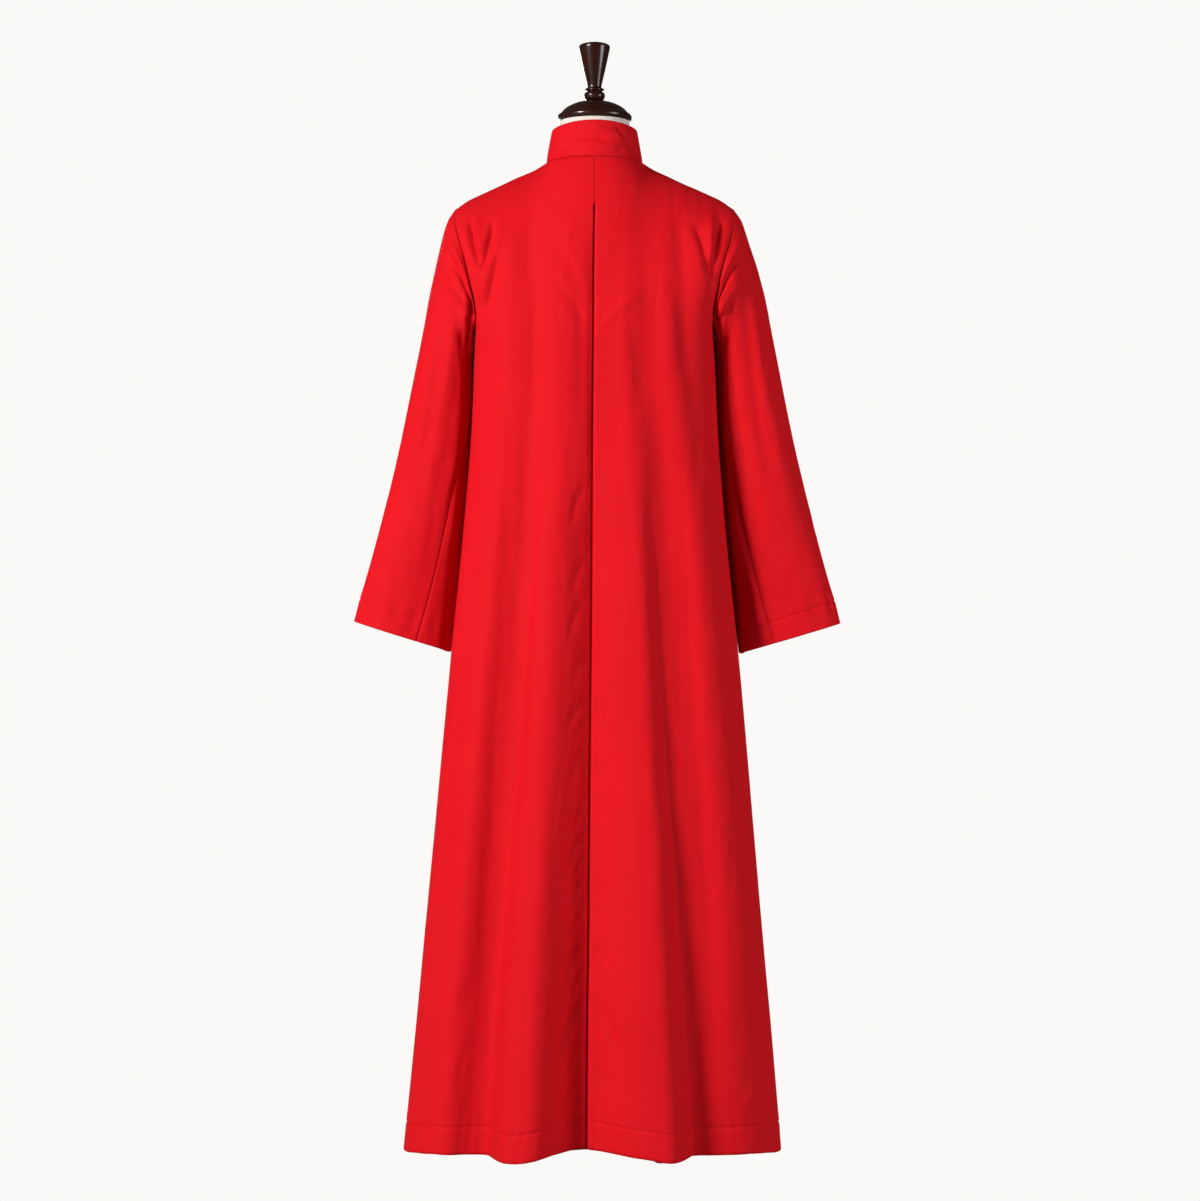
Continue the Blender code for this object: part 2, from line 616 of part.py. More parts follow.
def form_base(name, metal, collection):
    """A four-armed foot: its outline goes out along each arm, round its end and back."""
    outline = []
    for x, y in BASE_FEET:
        arm = Vector((x, y, 0))
        out = arm.normalized() * BASE_ARM_WIDTH / 2
        aside = Vector((-out.y, out.x, 0))
        outline.append(out * 1.5 - aside)
        for step in range(7):
            turn = -pi / 2 + pi * step / 6
            outline.append(arm + aside * sin(turn) + out * cos(turn))
        outline.append(out * 1.5 + aside)
    mesh = bpy.data.meshes.new(name)
    bm = bmesh.new()
    bm.faces.new([bm.verts.new(point + Vector((0, 0, BASE_LOW))) for point in outline])
    bm.to_mesh(mesh)
    bm.free()
    base = add_object(name, mesh, metal, collection)
    plate = base.modifiers.new("Plate", "SOLIDIFY")
    plate.thickness = BASE_TOP - BASE_LOW
    plate.offset = 1.0
    helpers = bpy.data.collections.new("cassock_helpers")
    bpy.context.scene.collection.children.link(helpers)
    for number, (x, y) in enumerate(BASE_FEET, 1):
        bpy.ops.mesh.primitive_cylinder_add(vertices=16, radius=PAD_RADIUS, depth=BASE_LOW + 0.004,
                                            location=(x, y, (BASE_LOW + 0.004) / 2))
        pad = bpy.context.active_object
        pad.name = f"pad_{number}"
        for owner in list(pad.users_collection):
            owner.objects.unlink(pad)
        helpers.objects.link(pad)
        pad.hide_render = True
        pad.display_type = "WIRE"
        join = base.modifiers.new(pad.name, "BOOLEAN")
        join.operation = "UNION"
        join.object = pad
    return base


# --- assembly ---------------------------------------------------------------------------------


def make_material(name, colour, roughness, metallic=0.0):
    material = bpy.data.materials.new(name)
    material.use_nodes = True
    shader = material.node_tree.nodes["Principled BSDF"]
    shader.inputs["Base Color"].default_value = (*colour, 1.0)
    shader.inputs["Roughness"].default_value = roughness
    shader.inputs["Metallic"].default_value = metallic
    return material


def main():
    for obj in list(bpy.data.objects):
        bpy.data.objects.remove(obj, do_unlink=True)
    collection = bpy.data.collections.new("cassock")
    bpy.context.scene.collection.children.link(collection)
    cloth = make_material("scarlet_cloth", (0.72, 0.012, 0.020), 0.65)
    linen = make_material("form_cloth", (0.80, 0.75, 0.66), 0.85)
    wood = make_material("dark_wood", (0.035, 0.014, 0.009), 0.22)
    metal = make_material("dark_iron", (0.030, 0.030, 0.032), 0.45, 0.6)
    for word, side in (("left", 1), ("right", -1)):
        back_panel(f"back_{word}", side, cloth, collection)
        front_panel(f"front_{word}", side, cloth, collection)
        sleeve_half(f"sleeve_{word}_upper", side, True, cloth, collection)
        sleeve_half(f"sleeve_{word}_under", side, False, cloth, collection)
    pleat_underlay("pleat_underlay", cloth, collection)
    collar("collar", cloth, collection)
    buttons(cloth, collection)
    form_torso("form_torso", linen, collection)
    form_stand(wood, metal, collection)
    form_base("base", metal, collection)


main()
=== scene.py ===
"""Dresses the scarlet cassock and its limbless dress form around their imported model.

Metres, +Z up, the cassock's front towards -Y and the wearer's left at +X.
"""
import logging
from dataclasses import dataclass, field
from enum import Enum
from math import pi, radians
from typing import Any, Callable, Iterable, Sequence

import bmesh
import bpy
import numpy as np
from mathutils import Matrix, Vector


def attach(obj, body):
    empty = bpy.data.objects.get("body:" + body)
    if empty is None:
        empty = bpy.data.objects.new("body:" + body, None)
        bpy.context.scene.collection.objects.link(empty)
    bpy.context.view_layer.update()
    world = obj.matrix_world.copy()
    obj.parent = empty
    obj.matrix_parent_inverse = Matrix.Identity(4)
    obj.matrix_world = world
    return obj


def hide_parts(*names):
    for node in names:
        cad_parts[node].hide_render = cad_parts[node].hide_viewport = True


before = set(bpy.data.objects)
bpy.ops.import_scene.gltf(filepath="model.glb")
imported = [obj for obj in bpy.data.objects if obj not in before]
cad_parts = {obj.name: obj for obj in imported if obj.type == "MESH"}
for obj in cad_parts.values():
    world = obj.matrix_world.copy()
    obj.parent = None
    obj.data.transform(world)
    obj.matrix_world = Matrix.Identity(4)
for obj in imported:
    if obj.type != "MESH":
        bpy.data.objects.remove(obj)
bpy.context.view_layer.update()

ROOT = "root"
log = logging.getLogger("cassock")

Array = np.ndarray
Row = tuple[float, ...]


class Face(Enum):
    """Which way a body panel looks."""

    BACK = 1
    FRONT = -1


class Side(Enum):
    """The wearer's side that a piece is on."""

    LEFT = 1
    RIGHT = -1

    @property
    def word(self) -> str:
        """The side's name in the names of pieces."""
        return self.name.lower()


class Layer(Enum):
    """The upper half of a sleeve, over the outside of the arm, or the under half, by the body."""

    UPPER = "upper"
    UNDER = "under"


# --- shader maths -------------------------------------------------------------------------


def _operator(operation: str, swapped: bool = False) -> Callable[["Socket", Any], "Socket"]:
    """One of Socket's operators.

    Args:
        operation: the operation of the node that it adds.
        swapped: whether the other value comes first.

    Returns:
        The method.
    """

    def apply(self: "Socket", other: Any) -> "Socket":
        """The node's output for the socket and another value."""
        return self._maths(operation, *((other, self) if swapped else (self, other)))

    return apply


class Socket:
    """An output socket that takes part in Python expressions.

    Values go through Math nodes, and vectors and colours through Vector Math.
    """

    def __init__(self, nodes: "NodeBook", socket: bpy.types.NodeSocket) -> None:
        """Wraps a socket.

        Args:
            nodes: the book that adds nodes to the socket's tree.
            socket: the output to read.
        """
        self.nodes = nodes
        self.socket = socket

    def _maths(self, operation: str, first: Any, second: Any = None) -> "Socket":
        """One Math or Vector Math node on one or two values.

        Args:
            operation: the node's operation.
            first: a socket, number or triple.
            second: the same, or None.

        Returns:
            The node's output.
        """
        parts = [part for part in (first, second) if part is not None]
        vectors = any(isinstance(part, Socket) and part.is_vector for part in parts)
        kind = "ShaderNodeVectorMath" if vectors else "ShaderNodeMath"
        values = {number: self._fit(part, vectors) for number, part in enumerate(parts)}
        return self.nodes.add(kind, {"operation": operation}, values)

    @staticmethod
    def _fit(part: Any, vectors: bool) -> Any:
        """A plain number as a triple where the other value is a vector."""
        return (part,) * 3 if vectors and isinstance(part, (int, float)) else part

    @property
    def is_vector(self) -> bool:
        """Whether the socket holds a vector or a colour."""
        return self.socket.type in ("VECTOR", "RGBA")

    __add__, __radd__ = _operator("ADD"), _operator("ADD", swapped=True)
    __sub__, __rsub__ = _operator("SUBTRACT"), _operator("SUBTRACT", swapped=True)
    __mul__, __rmul__ = _operator("MULTIPLY"), _operator("MULTIPLY", swapped=True)
    __truediv__, __pow__ = _operator("DIVIDE"), _operator("POWER")

    def __neg__(self) -> "Socket":
        """-self."""
        return self * -1.0

    def sine(self) -> "Socket":
        """The sine of a value, in radians."""
        return self._maths("SINE", self)

    def part(self, axis: int) -> "Socket":
        """One part of a vector.

        Args:
            axis: 0, 1 or 2.

        Returns:
            That part, as a value.
        """
        return self.nodes.add("ShaderNodeSeparateXYZ", {}, {0: self}, axis)

    def blend(self, low: Row, high: Row) -> "Socket":
        """A colour between two, by this value.

        Args:
            low: the colour at 0, in linear light.
            high: the colour at 1.

        Returns:
            The mixed colour.
        """
        settings = {"data_type": "RGBA"}
        return self.nodes.add("ShaderNodeMix", settings, {0: self, 6: (*low, 1), 7: (*high, 1)}, 2)


class NodeBook:
    """Adds nodes to one material's or world's tree."""

    def __init__(self, tree: bpy.types.NodeTree) -> None:
        """Starts on a tree.

        Args:
            tree: the node tree.
        """
        self.tree = tree

    def add(self, kind: str, settings: dict[str, Any], values: dict[Any, Any], output: Any = 0) -> Socket:
        """Adds one node.

        Args:
            kind: the node's type.
            settings: its properties, set before its sockets.
            values: each input socket's value, or the Socket that it is linked to.
            output: the output to return, by number or name.

        Returns:
            That output.
        """
        node = self.tree.nodes.new(kind)
        for name, value in settings.items():
            setattr(node, name, value)
        for key, value in values.items():
            if isinstance(value, Socket):
                self.tree.links.new(value.socket, node.inputs[key])
            else:
                node.inputs[key].default_value = value
        return Socket(self, node.outputs[output])

    def noise(self, coordinates: Socket, scale: float, detail: float = 2.0) -> Socket:
        """Soft noise from 0 to 1.

        Args:
            coordinates: where it is read.
            scale: its waves in a metre.
            detail: how many finer layers it has.

        Returns:
            The noise's value.
        """
        values = {"Vector": coordinates, "Scale": scale, "Detail": detail, "Roughness": 0.55}
        return self.add("ShaderNodeTexNoise", {}, values, 0)

    def bump(self, height: Socket, strength: float, distance: float) -> Socket:
        """A normal bent by a height.

        Args:
            height: the height, about 0 to 1.
            strength: the bump's share.
            distance: metres for a height of 1.

        Returns:
            The normal.
        """
        values = {"Height": height, "Strength": strength, "Distance": distance}
        return self.add("ShaderNodeBump", {}, values, "Normal")


# --- finishes -----------------------------------------------------------------------------


@dataclass(frozen=True)
class Finish:
    """A finish with one Principled shader, whose constants are set on its own sockets."""

    name: str
    constants: dict[str, Any] = field(default_factory=dict)

    def links(self, nodes: NodeBook) -> dict[str, Socket]:
        """What changes over the surface, by the shader's socket.

        Args:
            nodes: adds nodes to the material.

        Returns:
            The sockets to link.
        """
        return {}

    def make(self) -> bpy.types.Material:
        """The finish as a material, made once.

        Returns:
            The material.
        """
        found = bpy.data.materials.get(self.name)
        if found is not None:
            return found
        material = bpy.data.materials.new(self.name)
        material.use_nodes = True
        tree = material.node_tree
        shader = tree.nodes["Principled BSDF"]
        for key, value in self.constants.items():
            shader.inputs[key].default_value = value
        for key, value in self.links(NodeBook(tree)).items():
            tree.links.new(value.socket, shader.inputs[key])
        return material


@dataclass(frozen=True)
class ClothFinish(Finish):
    """A woven cloth: a fine weave along the piece's own grain, and slight clouds of colour."""

    light: Row = (0.59, 0.0076, 0.0130)
    dark: Row = (0.50, 0.0034, 0.0076)
    thread: float = 0.00085  # metres from one thread to the next
    weave: float = 0.30
    rough: tuple[float, float] = (0.66, 0.78)
    ruffle: float = 9.0  # the finest unevenness of the hanging cloth

    def links(self, nodes: NodeBook) -> dict[str, Socket]:
        """Colour, roughness and normal from the weave and the clouds.

        Args:
            nodes: adds nodes to the material.

        Returns:
            The sockets to link.
        """
        grain = nodes.add("ShaderNodeUVMap", {"uv_map": "grain"}, {})
        place = nodes.add("ShaderNodeTexCoord", {}, {}, "Object")
        turns = grain * (2 * pi / self.thread)
        threads = (turns.part(0).sine() * turns.part(1).sine()) * 0.5 + 0.5
        slub = nodes.noise(grain * (1.0, 0.16, 1.0), 900.0)
        clouds = nodes.noise(place, 9.0, 3.0)
        mottle = nodes.noise(place, 260.0, 3.0)
        colour = (clouds * 0.55 + mottle * 0.25 + slub * 0.20).blend(self.dark, self.light)
        low, high = self.rough
        ruffle = nodes.noise(place * (1.0, 1.0, 0.55), 42.0, 4.0)
        height = threads * 0.45 + slub * 0.30 + mottle * 0.45 + ruffle * self.ruffle
        return {
            "Base Color": colour,
            "Roughness": clouds * (high - low) + low,
            "Normal": nodes.bump(height, self.weave, 0.00025),
        }


@dataclass(frozen=True)
class WoodFinish(Finish):
    """Dark turned wood under a clear varnish, its grain running round the turning."""

    light: Row = (0.034, 0.0082, 0.0038)
    dark: Row = (0.0066, 0.0015, 0.0008)

    def links(self, nodes: NodeBook) -> dict[str, Socket]:
        """Colour and roughness from the grain, and the varnish's slight unevenness.

        Args:
            nodes: adds nodes to the material.

        Returns:
            The sockets to link.
        """
        place = nodes.add("ShaderNodeTexCoord", {}, {}, "Object")
        fibres = nodes.noise(place * (160.0, 160.0, 16.0), 1.0, 5.0)
        figure = nodes.noise(place * (46.0, 46.0, 9.0), 1.0, 2.0)
        return {
            "Base Color": (fibres * 0.6 + figure * 0.4).blend(self.dark, self.light),
            "Roughness": fibres * 0.12 + 0.22,
            "Normal": nodes.bump(fibres, 0.04, 0.0002),
        }


@dataclass(frozen=True)
class IronFinish(Finish):
    """Painted iron: near black, with a fine pebbled coat that is rubbed a little brighter."""

    light: Row = (0.048, 0.047, 0.048)
    dark: Row = (0.020, 0.020, 0.021)

    def links(self, nodes: NodeBook) -> dict[str, Socket]:
        """Colour, roughness and normal from the pebbled coat.

        Args:
            nodes: adds nodes to the material.

        Returns:
            The sockets to link.
        """
        place = nodes.add("ShaderNodeTexCoord", {}, {}, "Object")
        pebbles = nodes.noise(place, 650.0, 2.0)
        rubbed = nodes.noise(place, 14.0, 4.0)
        return {
            "Base Color": (rubbed ** 2.0).blend(self.dark, self.light),
            "Roughness": rubbed * 0.22 + 0.34,
            "Normal": nodes.bump(pebbles, 0.35, 0.0003),
        }


SCARLET_SHEEN = {"Specular IOR Level": 0.045, "Sheen Weight": 0.012, "Sheen Roughness": 0.5,
                 "Sheen Tint": (1.0, 0.10, 0.10, 1.0)}
SCARLET = ClothFinish("scarlet_cloth_woven", SCARLET_SHEEN)
THREAD = ClothFinish("scarlet_thread", SCARLET_SHEEN, light=(0.36, 0.004, 0.008), dark=(0.28, 0.003, 0.006),
                     thread=0.0006, weave=0.2)
LINEN = ClothFinish("form_linen", {"Specular IOR Level": 0.25, "Sheen Weight": 0.08},
                    light=(0.66, 0.615, 0.545), dark=(0.59, 0.545, 0.475), thread=0.0011, weave=0.45,
                    rough=(0.72, 0.86))
WOOD = WoodFinish("varnished_dark_wood", {"Coat Weight": 0.26, "Coat Roughness": 0.17,
                                          "Specular IOR Level": 0.2})
IRON = IronFinish("painted_iron", {"Metallic": 0.35, "Specular IOR Level": 0.5})


# --- the garment's cut --------------------------------------------------------------------


def smooth(share: Any) -> Any:
    """0 to 1 with level ends, for a number or an array.

    Args:
        share: where it is read.

    Returns:
        The eased share.
    """
    share = np.clip(share, 0.0, 1.0)
    return share * share * (3 - 2 * share)


class Curve:
    """A smooth line through one column of a table, which never overshoots its rows."""

    def __init__(self, rows: Sequence[Row], column: int = 1) -> None:
        """Reads the table.

        Args:
            rows: the table, whose first column is the place.
            column: the column to follow.
        """
        pairs = sorted((row[0], row[column]) for row in rows)
        self.places = np.array([pair[0] for pair in pairs])
        self.values = np.array([pair[1] for pair in pairs])
        steps = np.diff(self.values) / np.diff(self.places)
        low, high = steps[:-1], steps[1:]
        sums = np.where(low * high > 0, low + high, 1.0)
        middle = np.where(low * high > 0, 2 * low * high / sums, 0.0)
        self.slopes = np.concatenate([steps[:1], middle, steps[-1:]])

    def __call__(self, at: Any) -> Array:
        """The line's value.

        Args:
            at: one place or an array of them.

        Returns:
            The values there.
        """
        at = np.clip(np.asarray(at, float), self.places[0], self.places[-1])
        i = np.clip(np.searchsorted(self.places, at) - 1, 0, len(self.places) - 2)
        width = self.places[i + 1] - self.places[i]
        s = (at - self.places[i]) / width
        rise = self.values[i + 1] - self.values[i]
        start, end = self.slopes[i] * width, self.slopes[i + 1] * width
        square, cube = 3 * rise - 2 * start - end, start + end - 2 * rise
        return self.values[i] + start * s + square * s**2 + cube * s**3


def grid_normals(points: Array) -> Array:
    """Unit normals of a grid of points.

    Args:
        points: rows by columns by 3.

    Returns:
        The normals, in the same shape.
    """
    across = np.gradient(points, axis=1)
    down = np.gradient(points, axis=0)
    normals = np.cross(across, down)
    return normals / np.maximum(np.linalg.norm(normals, axis=2, keepdims=True), 1e-12)


@dataclass(frozen=True)
class Cut:
    """The cassock's shape: the sections, folds, armholes and sleeves that all its pieces share."""

    wall: float = 0.0016
    seam: float = 0.0003
    hem_depth: float = 0.040
    cuff_depth: float = 0.036
    sleeve_length: float = 0.62
    sleeve_hold: float = 0.16
    right_sleeve_out: float = 0.0080
    right_sleeve_drop: float = 0.0030
    sleeve_clear: float = 0.0007
    underarm_z: float = 1.232
    neck_half: float = 0.0722
    neck_back: float = 0.0750
    neck_front: float = 0.0860
    neck_z: float = 1.4880
    neck_share: float = 0.52
    neck_drop: float = 0.0250
    tip_x: float = 0.2070
    tip_z: float = 1.4210
    slit: float = 0.0008
    pleat_turn: float = 0.0040
    pleat_top: float = 0.048
    pleat_hem: float = 0.090
    underlay_sink: float = 0.0102
    front_lap: float = 0.018
    lap_sink: float = 0.0036
    bluff: float = 1.6  # the power that shapes a fold's outer flank
    soft: float = 1.25  # and its inner one
    corner: float = 0.80  # the power that rounds the body's plan off
    # z, half width on the left and right, depth of the side seam, centre back and centre front
    sections: tuple[Row, ...] = (
        (0.010, 0.2845, 0.2775, 0.036, 0.162, -0.214),
        (0.130, 0.2720, 0.2680, 0.038, 0.160, -0.206),
        (0.384, 0.2475, 0.2455, 0.040, 0.154, -0.192),
        (0.744, 0.2135, 0.2145, 0.040, 0.138, -0.168),
        (0.950, 0.1935, 0.1935, 0.036, 0.126, -0.148),
        (1.100, 0.1825, 0.1830, 0.028, 0.119, -0.134),
        (1.185, 0.1798, 0.1802, 0.018, 0.120, -0.133),
        (1.232, 0.1790, 0.1790, 0.000, 0.122, -0.132),
    )
    fold_heights: Row = (1.089, 0.690, 0.348, 0.030)
    # each fold's crest at the four heights, its rise there, and its inner and outer flank
    back_folds: tuple[Row, ...] = (
        (0.055, 0.071, 0.096, 0.114, 0.008, 0.024, 0.038, 0.056, 0.106, 0.046),
        (0.137, 0.172, 0.199, 0.228, 0.004, 0.009, 0.012, 0.012, 0.050, 0.040),
        (-0.050, -0.066, -0.080, -0.096, 0.008, 0.024, 0.040, 0.057, 0.094, 0.047),
        (-0.139, -0.174, -0.201, -0.217, 0.004, 0.008, 0.011, 0.011, 0.046, 0.042),
    )
    front_folds: tuple[Row, ...] = (
        (0.078, 0.096, 0.112, 0.128, 0.004, 0.013, 0.024, 0.032, 0.060, 0.050),
        (0.150, 0.182, 0.206, 0.226, 0.003, 0.007, 0.010, 0.012, 0.044, 0.036),
        (-0.070, -0.090, -0.110, -0.120, 0.004, 0.012, 0.022, 0.030, 0.058, 0.052),
        (-0.146, -0.178, -0.200, -0.216, 0.003, 0.007, 0.011, 0.012, 0.046, 0.036),
    )
    hem_line: tuple[Row, ...] = ((0.0, 0.042), (0.25, 0.039), (0.40, 0.033), (0.80, 0.031), (1.0, 0.021))
    # z, x and reach behind or in front of the shoulder line
    armholes: tuple[Row, ...] = (
        (1.2320, 0.1790, 0.000), (1.2400, 0.1765, 0.034), (1.2520, 0.1750, 0.052), (1.2750, 0.1780, 0.066),
        (1.3000, 0.1835, 0.071), (1.3330, 0.1910, 0.069), (1.3750, 0.2030, 0.054), (1.3990, 0.2080, 0.037),
        (1.4130, 0.2084, 0.021), (1.4210, 0.2070, 0.000),
    )
    # share of the length, outer and inner edge (x, z), the middle's y, and half depth
    sleeves: tuple[Row, ...] = (
        (0.00, 0.2075, 1.4210, 0.1796, 1.2320, -0.002, 0.0700),
        (0.04, 0.2200, 1.4010, 0.1808, 1.2240, -0.003, 0.0690),
        (0.10, 0.2310, 1.3640, 0.1808, 1.2060, -0.008, 0.0660),
        (0.20, 0.2456, 1.3000, 0.1808, 1.1700, -0.014, 0.0610),
        (0.35, 0.2651, 1.2040, 0.1818, 1.1040, -0.016, 0.0550),
        (0.55, 0.2919, 1.0720, 0.1882, 0.9980, -0.014, 0.0490),
        (0.78, 0.3264, 0.9290, 0.1995, 0.8700, -0.010, 0.0420),
        (1.00, 0.3609, 0.8020, 0.2125, 0.7560, -0.004, 0.0360),
    )
    hind_seam: tuple[Row, ...] = ((0.0, 172.0), (0.35, 150.0), (0.60, 126.0), (1.0, 107.0))
    fore_seam: tuple[Row, ...] = ((0.0, 200.0), (1.0, 244.0))

    def shoulder_z(self, x: Any) -> Any:
        """Height of the shoulder line.

        Args:
            x: distance from the centre line.

        Returns:
            The height there.
        """
        straight = self.tip_z + 0.0040 + 0.450 * (self.tip_x - x)
        near_neck = 0.0042 * smooth((0.094 - x) / 0.024) ** 2
        at_tip = 0.0040 * smooth((x - 0.180) / (self.tip_x - 0.180)) ** 2
        return straight + near_neck - at_tip

    def fold_depth(self, x: Array, z: Array, face: Face) -> Array:
        """How far the folds stand out of the plain section.

        Args:
            x: places across.
            z: heights, of the same shape.
            face: the garment's back or front.

        Returns:
            The depths, of the same shape.
        """
        total = np.zeros(np.broadcast(x, z).shape)
        for row in self.back_folds if face is Face.BACK else self.front_folds:
            crest = Curve(list(zip(self.fold_heights, row[:4])))(z)
            rise = Curve(list(zip(self.fold_heights, row[4:8])))(z) * (1 - smooth((z - 1.00) / 0.26))
            outward = (x - crest) * np.sign(row[3])
            flank = np.where(outward > 0, row[9], row[8]) * (1.0 - 0.42 * smooth(z / 1.1))
            power = np.where(outward > 0, self.bluff, self.soft)
            share = np.minimum(np.abs(outward) / flank, 1.0) ** power
            total += rise * 0.5 * (1 + np.cos(pi * share))
        return total

    def body(self, side: Side, face: Face, u: Array, share: Array) -> Array:
        """Points of the body cloth.

        Args:
            side: the wearer's side.
            face: back or front.
            u: from the side seam or armhole at 0 to the centre at 1, one for each column.
            share: from the hem at 0 to the underarm at 1 and the top edge at 2, one for each row.

        Returns:
            A grid of rows by columns by 3.
        """
        u, share = np.meshgrid(np.asarray(u, float), np.asarray(share, float))
        skirt = self._skirt(side, face, u, np.minimum(share, 1.0))
        chest = self._chest(side, face, u, np.clip(share - 1, 0.0, 1.0))
        return np.where((share <= 1)[..., None], skirt, chest)

    def _skirt(self, side: Side, face: Face, u: Array, share: Array) -> Array:
        """Points from the hem up to the underarm.

        Args:
            side: the wearer's side.
            face: back or front.
            u: places across.
            share: places up.

        Returns:
            The points.
        """
        sign, way = side.value, face.value
        across = np.maximum(np.cos(u * pi / 2), 0.0) ** self.corner
        centre = self.slit + self.pleat_turn if face is Face.BACK else 0.0
        hem_z = Curve(self.hem_line)(across)
        z = hem_z + (self.underarm_z - hem_z) * share
        half = Curve(self.sections, 1 if side is Side.LEFT else 2)(z)
        edge_y = Curve(self.sections, 3)(z)
        middle_y = Curve(self.sections, 4 if face is Face.BACK else 5)(z)
        x = centre + (half - centre) * across
        y = edge_y + (middle_y - edge_y) * np.sin(u * pi / 2) ** self.corner
        y += way * smooth((1 - across) / 0.12) * self.fold_depth(sign * x, z, face)
        return np.stack([sign * x, y + way * self.seam / 2, z], axis=-1)

    def _chest(self, side: Side, face: Face, u: Array, share: Array) -> Array:
        """Points from the underarm up to the shoulder and neck seams.

        Args:
            side: the wearer's side.
            face: back or front.
            u: places across.
            share: places up, from 0 to 1.

        Returns:
            The points.
        """
        sign, way = side.value, face.value
        across = np.maximum(np.cos(u * pi / 2), 0.0) ** self.corner
        centre = self.slit + self.pleat_turn if face is Face.BACK else 0.0
        turn = share * pi / 2
        height = np.sin(turn)
        z_edge = self.underarm_z + (self.tip_z - self.underarm_z) * height
        edge_x = Curve(self.armholes, 1)(z_edge)
        reach = Curve(self.armholes, 2)(z_edge)
        top_x, top_y, top_z = self._top_edge(face, u, centre)
        low = self._skirt(side, face, u, np.ones_like(u))
        top_share = height**1.5
        low_x = centre + (edge_x - centre) * across
        high_x = centre + (top_x - centre) * edge_x / self.tip_x
        x = low_x + (high_x - low_x) * top_share
        power = 1.0 + 0.6 * smooth((u - 0.30) / 0.40)
        fall = np.maximum(np.cos(turn), 0.0) ** power
        y = top_y + (low[..., 1] - way * self.seam / 2 - top_y) * fall + way * reach * across**5
        z = self.underarm_z + (top_z - self.underarm_z) * height
        return np.stack([sign * x, y + way * self.seam / 2, z], axis=-1)

    def _top_edge(self, face: Face, u: Array, centre: float) -> tuple[Array, Array, Array]:
        """The shoulder and neck seams.

        Args:
            face: back or front.
            u: places across.
            centre: where the centre edge lies.

        Returns:
            x, y and z of the seams.
        """
        on_shoulder = self.tip_x + (self.neck_half - self.tip_x) * u / self.neck_share
        turn = np.clip((u - self.neck_share) / (1 - self.neck_share), 0.0, 1.0) * pi / 2
        reach = self.neck_back if face is Face.BACK else -self.neck_front
        drop = self.neck_drop * np.sin(turn) ** 2 if face is Face.FRONT else 0.0
        at_neck = u >= self.neck_share
        x = np.where(at_neck, centre + (self.neck_half - centre) * np.cos(turn), on_shoulder)
        y = np.where(at_neck, reach * np.sin(turn), 0.0)
        z = np.where(at_neck, self.neck_z - drop, self.shoulder_z(x))
        return x, y, z

    def body_at(self, side: Side, face: Face, share: float, x: Array) -> Array:
        """The body's points at given distances from the centre line, along one row.

        Args:
            side: the wearer's side.
            face: back or front.
            share: the row's height.
            x: the distances.

        Returns:
            The points, one for each distance.
        """
        u = np.linspace(0.30, 1.0, 400)
        row = self.body(side, face, u, [share])[0]
        order = np.argsort(np.abs(row[:, 0]))
        places = np.abs(row[order, 0])
        return np.stack([np.interp(x, places, row[order, axis]) for axis in range(3)], axis=-1)

    def sleeve(self, side: Side, turn: Array, share: Array) -> Array:
        """Points of a sleeve.

        Args:
            side: the wearer's side.
            turn: degrees from the top or outer line, backwards.
            share: places down the sleeve, of the same shape.

        Returns:
            The points.
        """
        outer_x, outer_z, inner_x, inner_z, middle_y, depth = (
            Curve(self.sleeves, column)(share) for column in range(1, 7))
        cosine, sine = np.cos(np.radians(turn)), np.sin(np.radians(turn))
        x = (outer_x + inner_x) / 2 + (outer_x - inner_x) / 2 * cosine
        y = middle_y + depth * sine
        z = (outer_z + inner_z) / 2 + (outer_z - inner_z) / 2 * cosine
        if side is Side.RIGHT:
            x = x + self.right_sleeve_out * smooth(share / 0.22) * (1 + cosine) / 2
            z = z - self.right_sleeve_drop * smooth(share)
        head = self.sleeves[0]
        over, under = (1 + cosine) / 2, (1 - cosine) / 2
        rim_x, rim_y, rim_z = self.armhole(turn)
        rim_x = rim_x + (outer_x - head[1]) * over + (inner_x - head[3]) * under
        rim_z = rim_z + (outer_z - head[2]) * over + (inner_z - head[4]) * under
        held = 1 - smooth(share / self.sleeve_hold)
        x, y, z = x + (rim_x - x) * held, y + (rim_y - y) * held, z + (rim_z - z) * held
        return np.stack([side.value * x, y, z], axis=-1)

    def armhole(self, turn: Array) -> tuple[Array, Array, Array]:
        """The armhole seam, on the sleeve's side of it.

        Args:
            turn: degrees from the shoulder tip, backwards.

        Returns:
            x, y and z of the seam, for the wearer's left.
        """
        low_z, high_z = self.armholes[0][0], self.armholes[-1][0]
        z = (low_z + high_z) / 2 + (high_z - low_z) / 2 * np.cos(np.radians(turn))
        x = Curve(self.armholes, 1)(z)
        reach = Curve(self.armholes, 2)(z)
        return x + self.sleeve_clear, reach * np.where(np.sin(np.radians(turn)) >= 0, 1, -1), z


CUT = Cut()

# --- cloth --------------------------------------------------------------------------------

CLOTH = 0.0012  # one layer's thickness
HEM_CLOTH = 0.0022  # and that of a turned-up hem or cuff
SEAM_ROLL = 0.0005  # how deep the cloth dips at a seam
SEAM_SPREAD = 0.0021  # how far from the seam
SLEEVE_SEAM_SHARE = 0.45  # of that depth at the sleeves' long seams
GENTLE = 0.0009  # how far the slack of the cloth lifts it
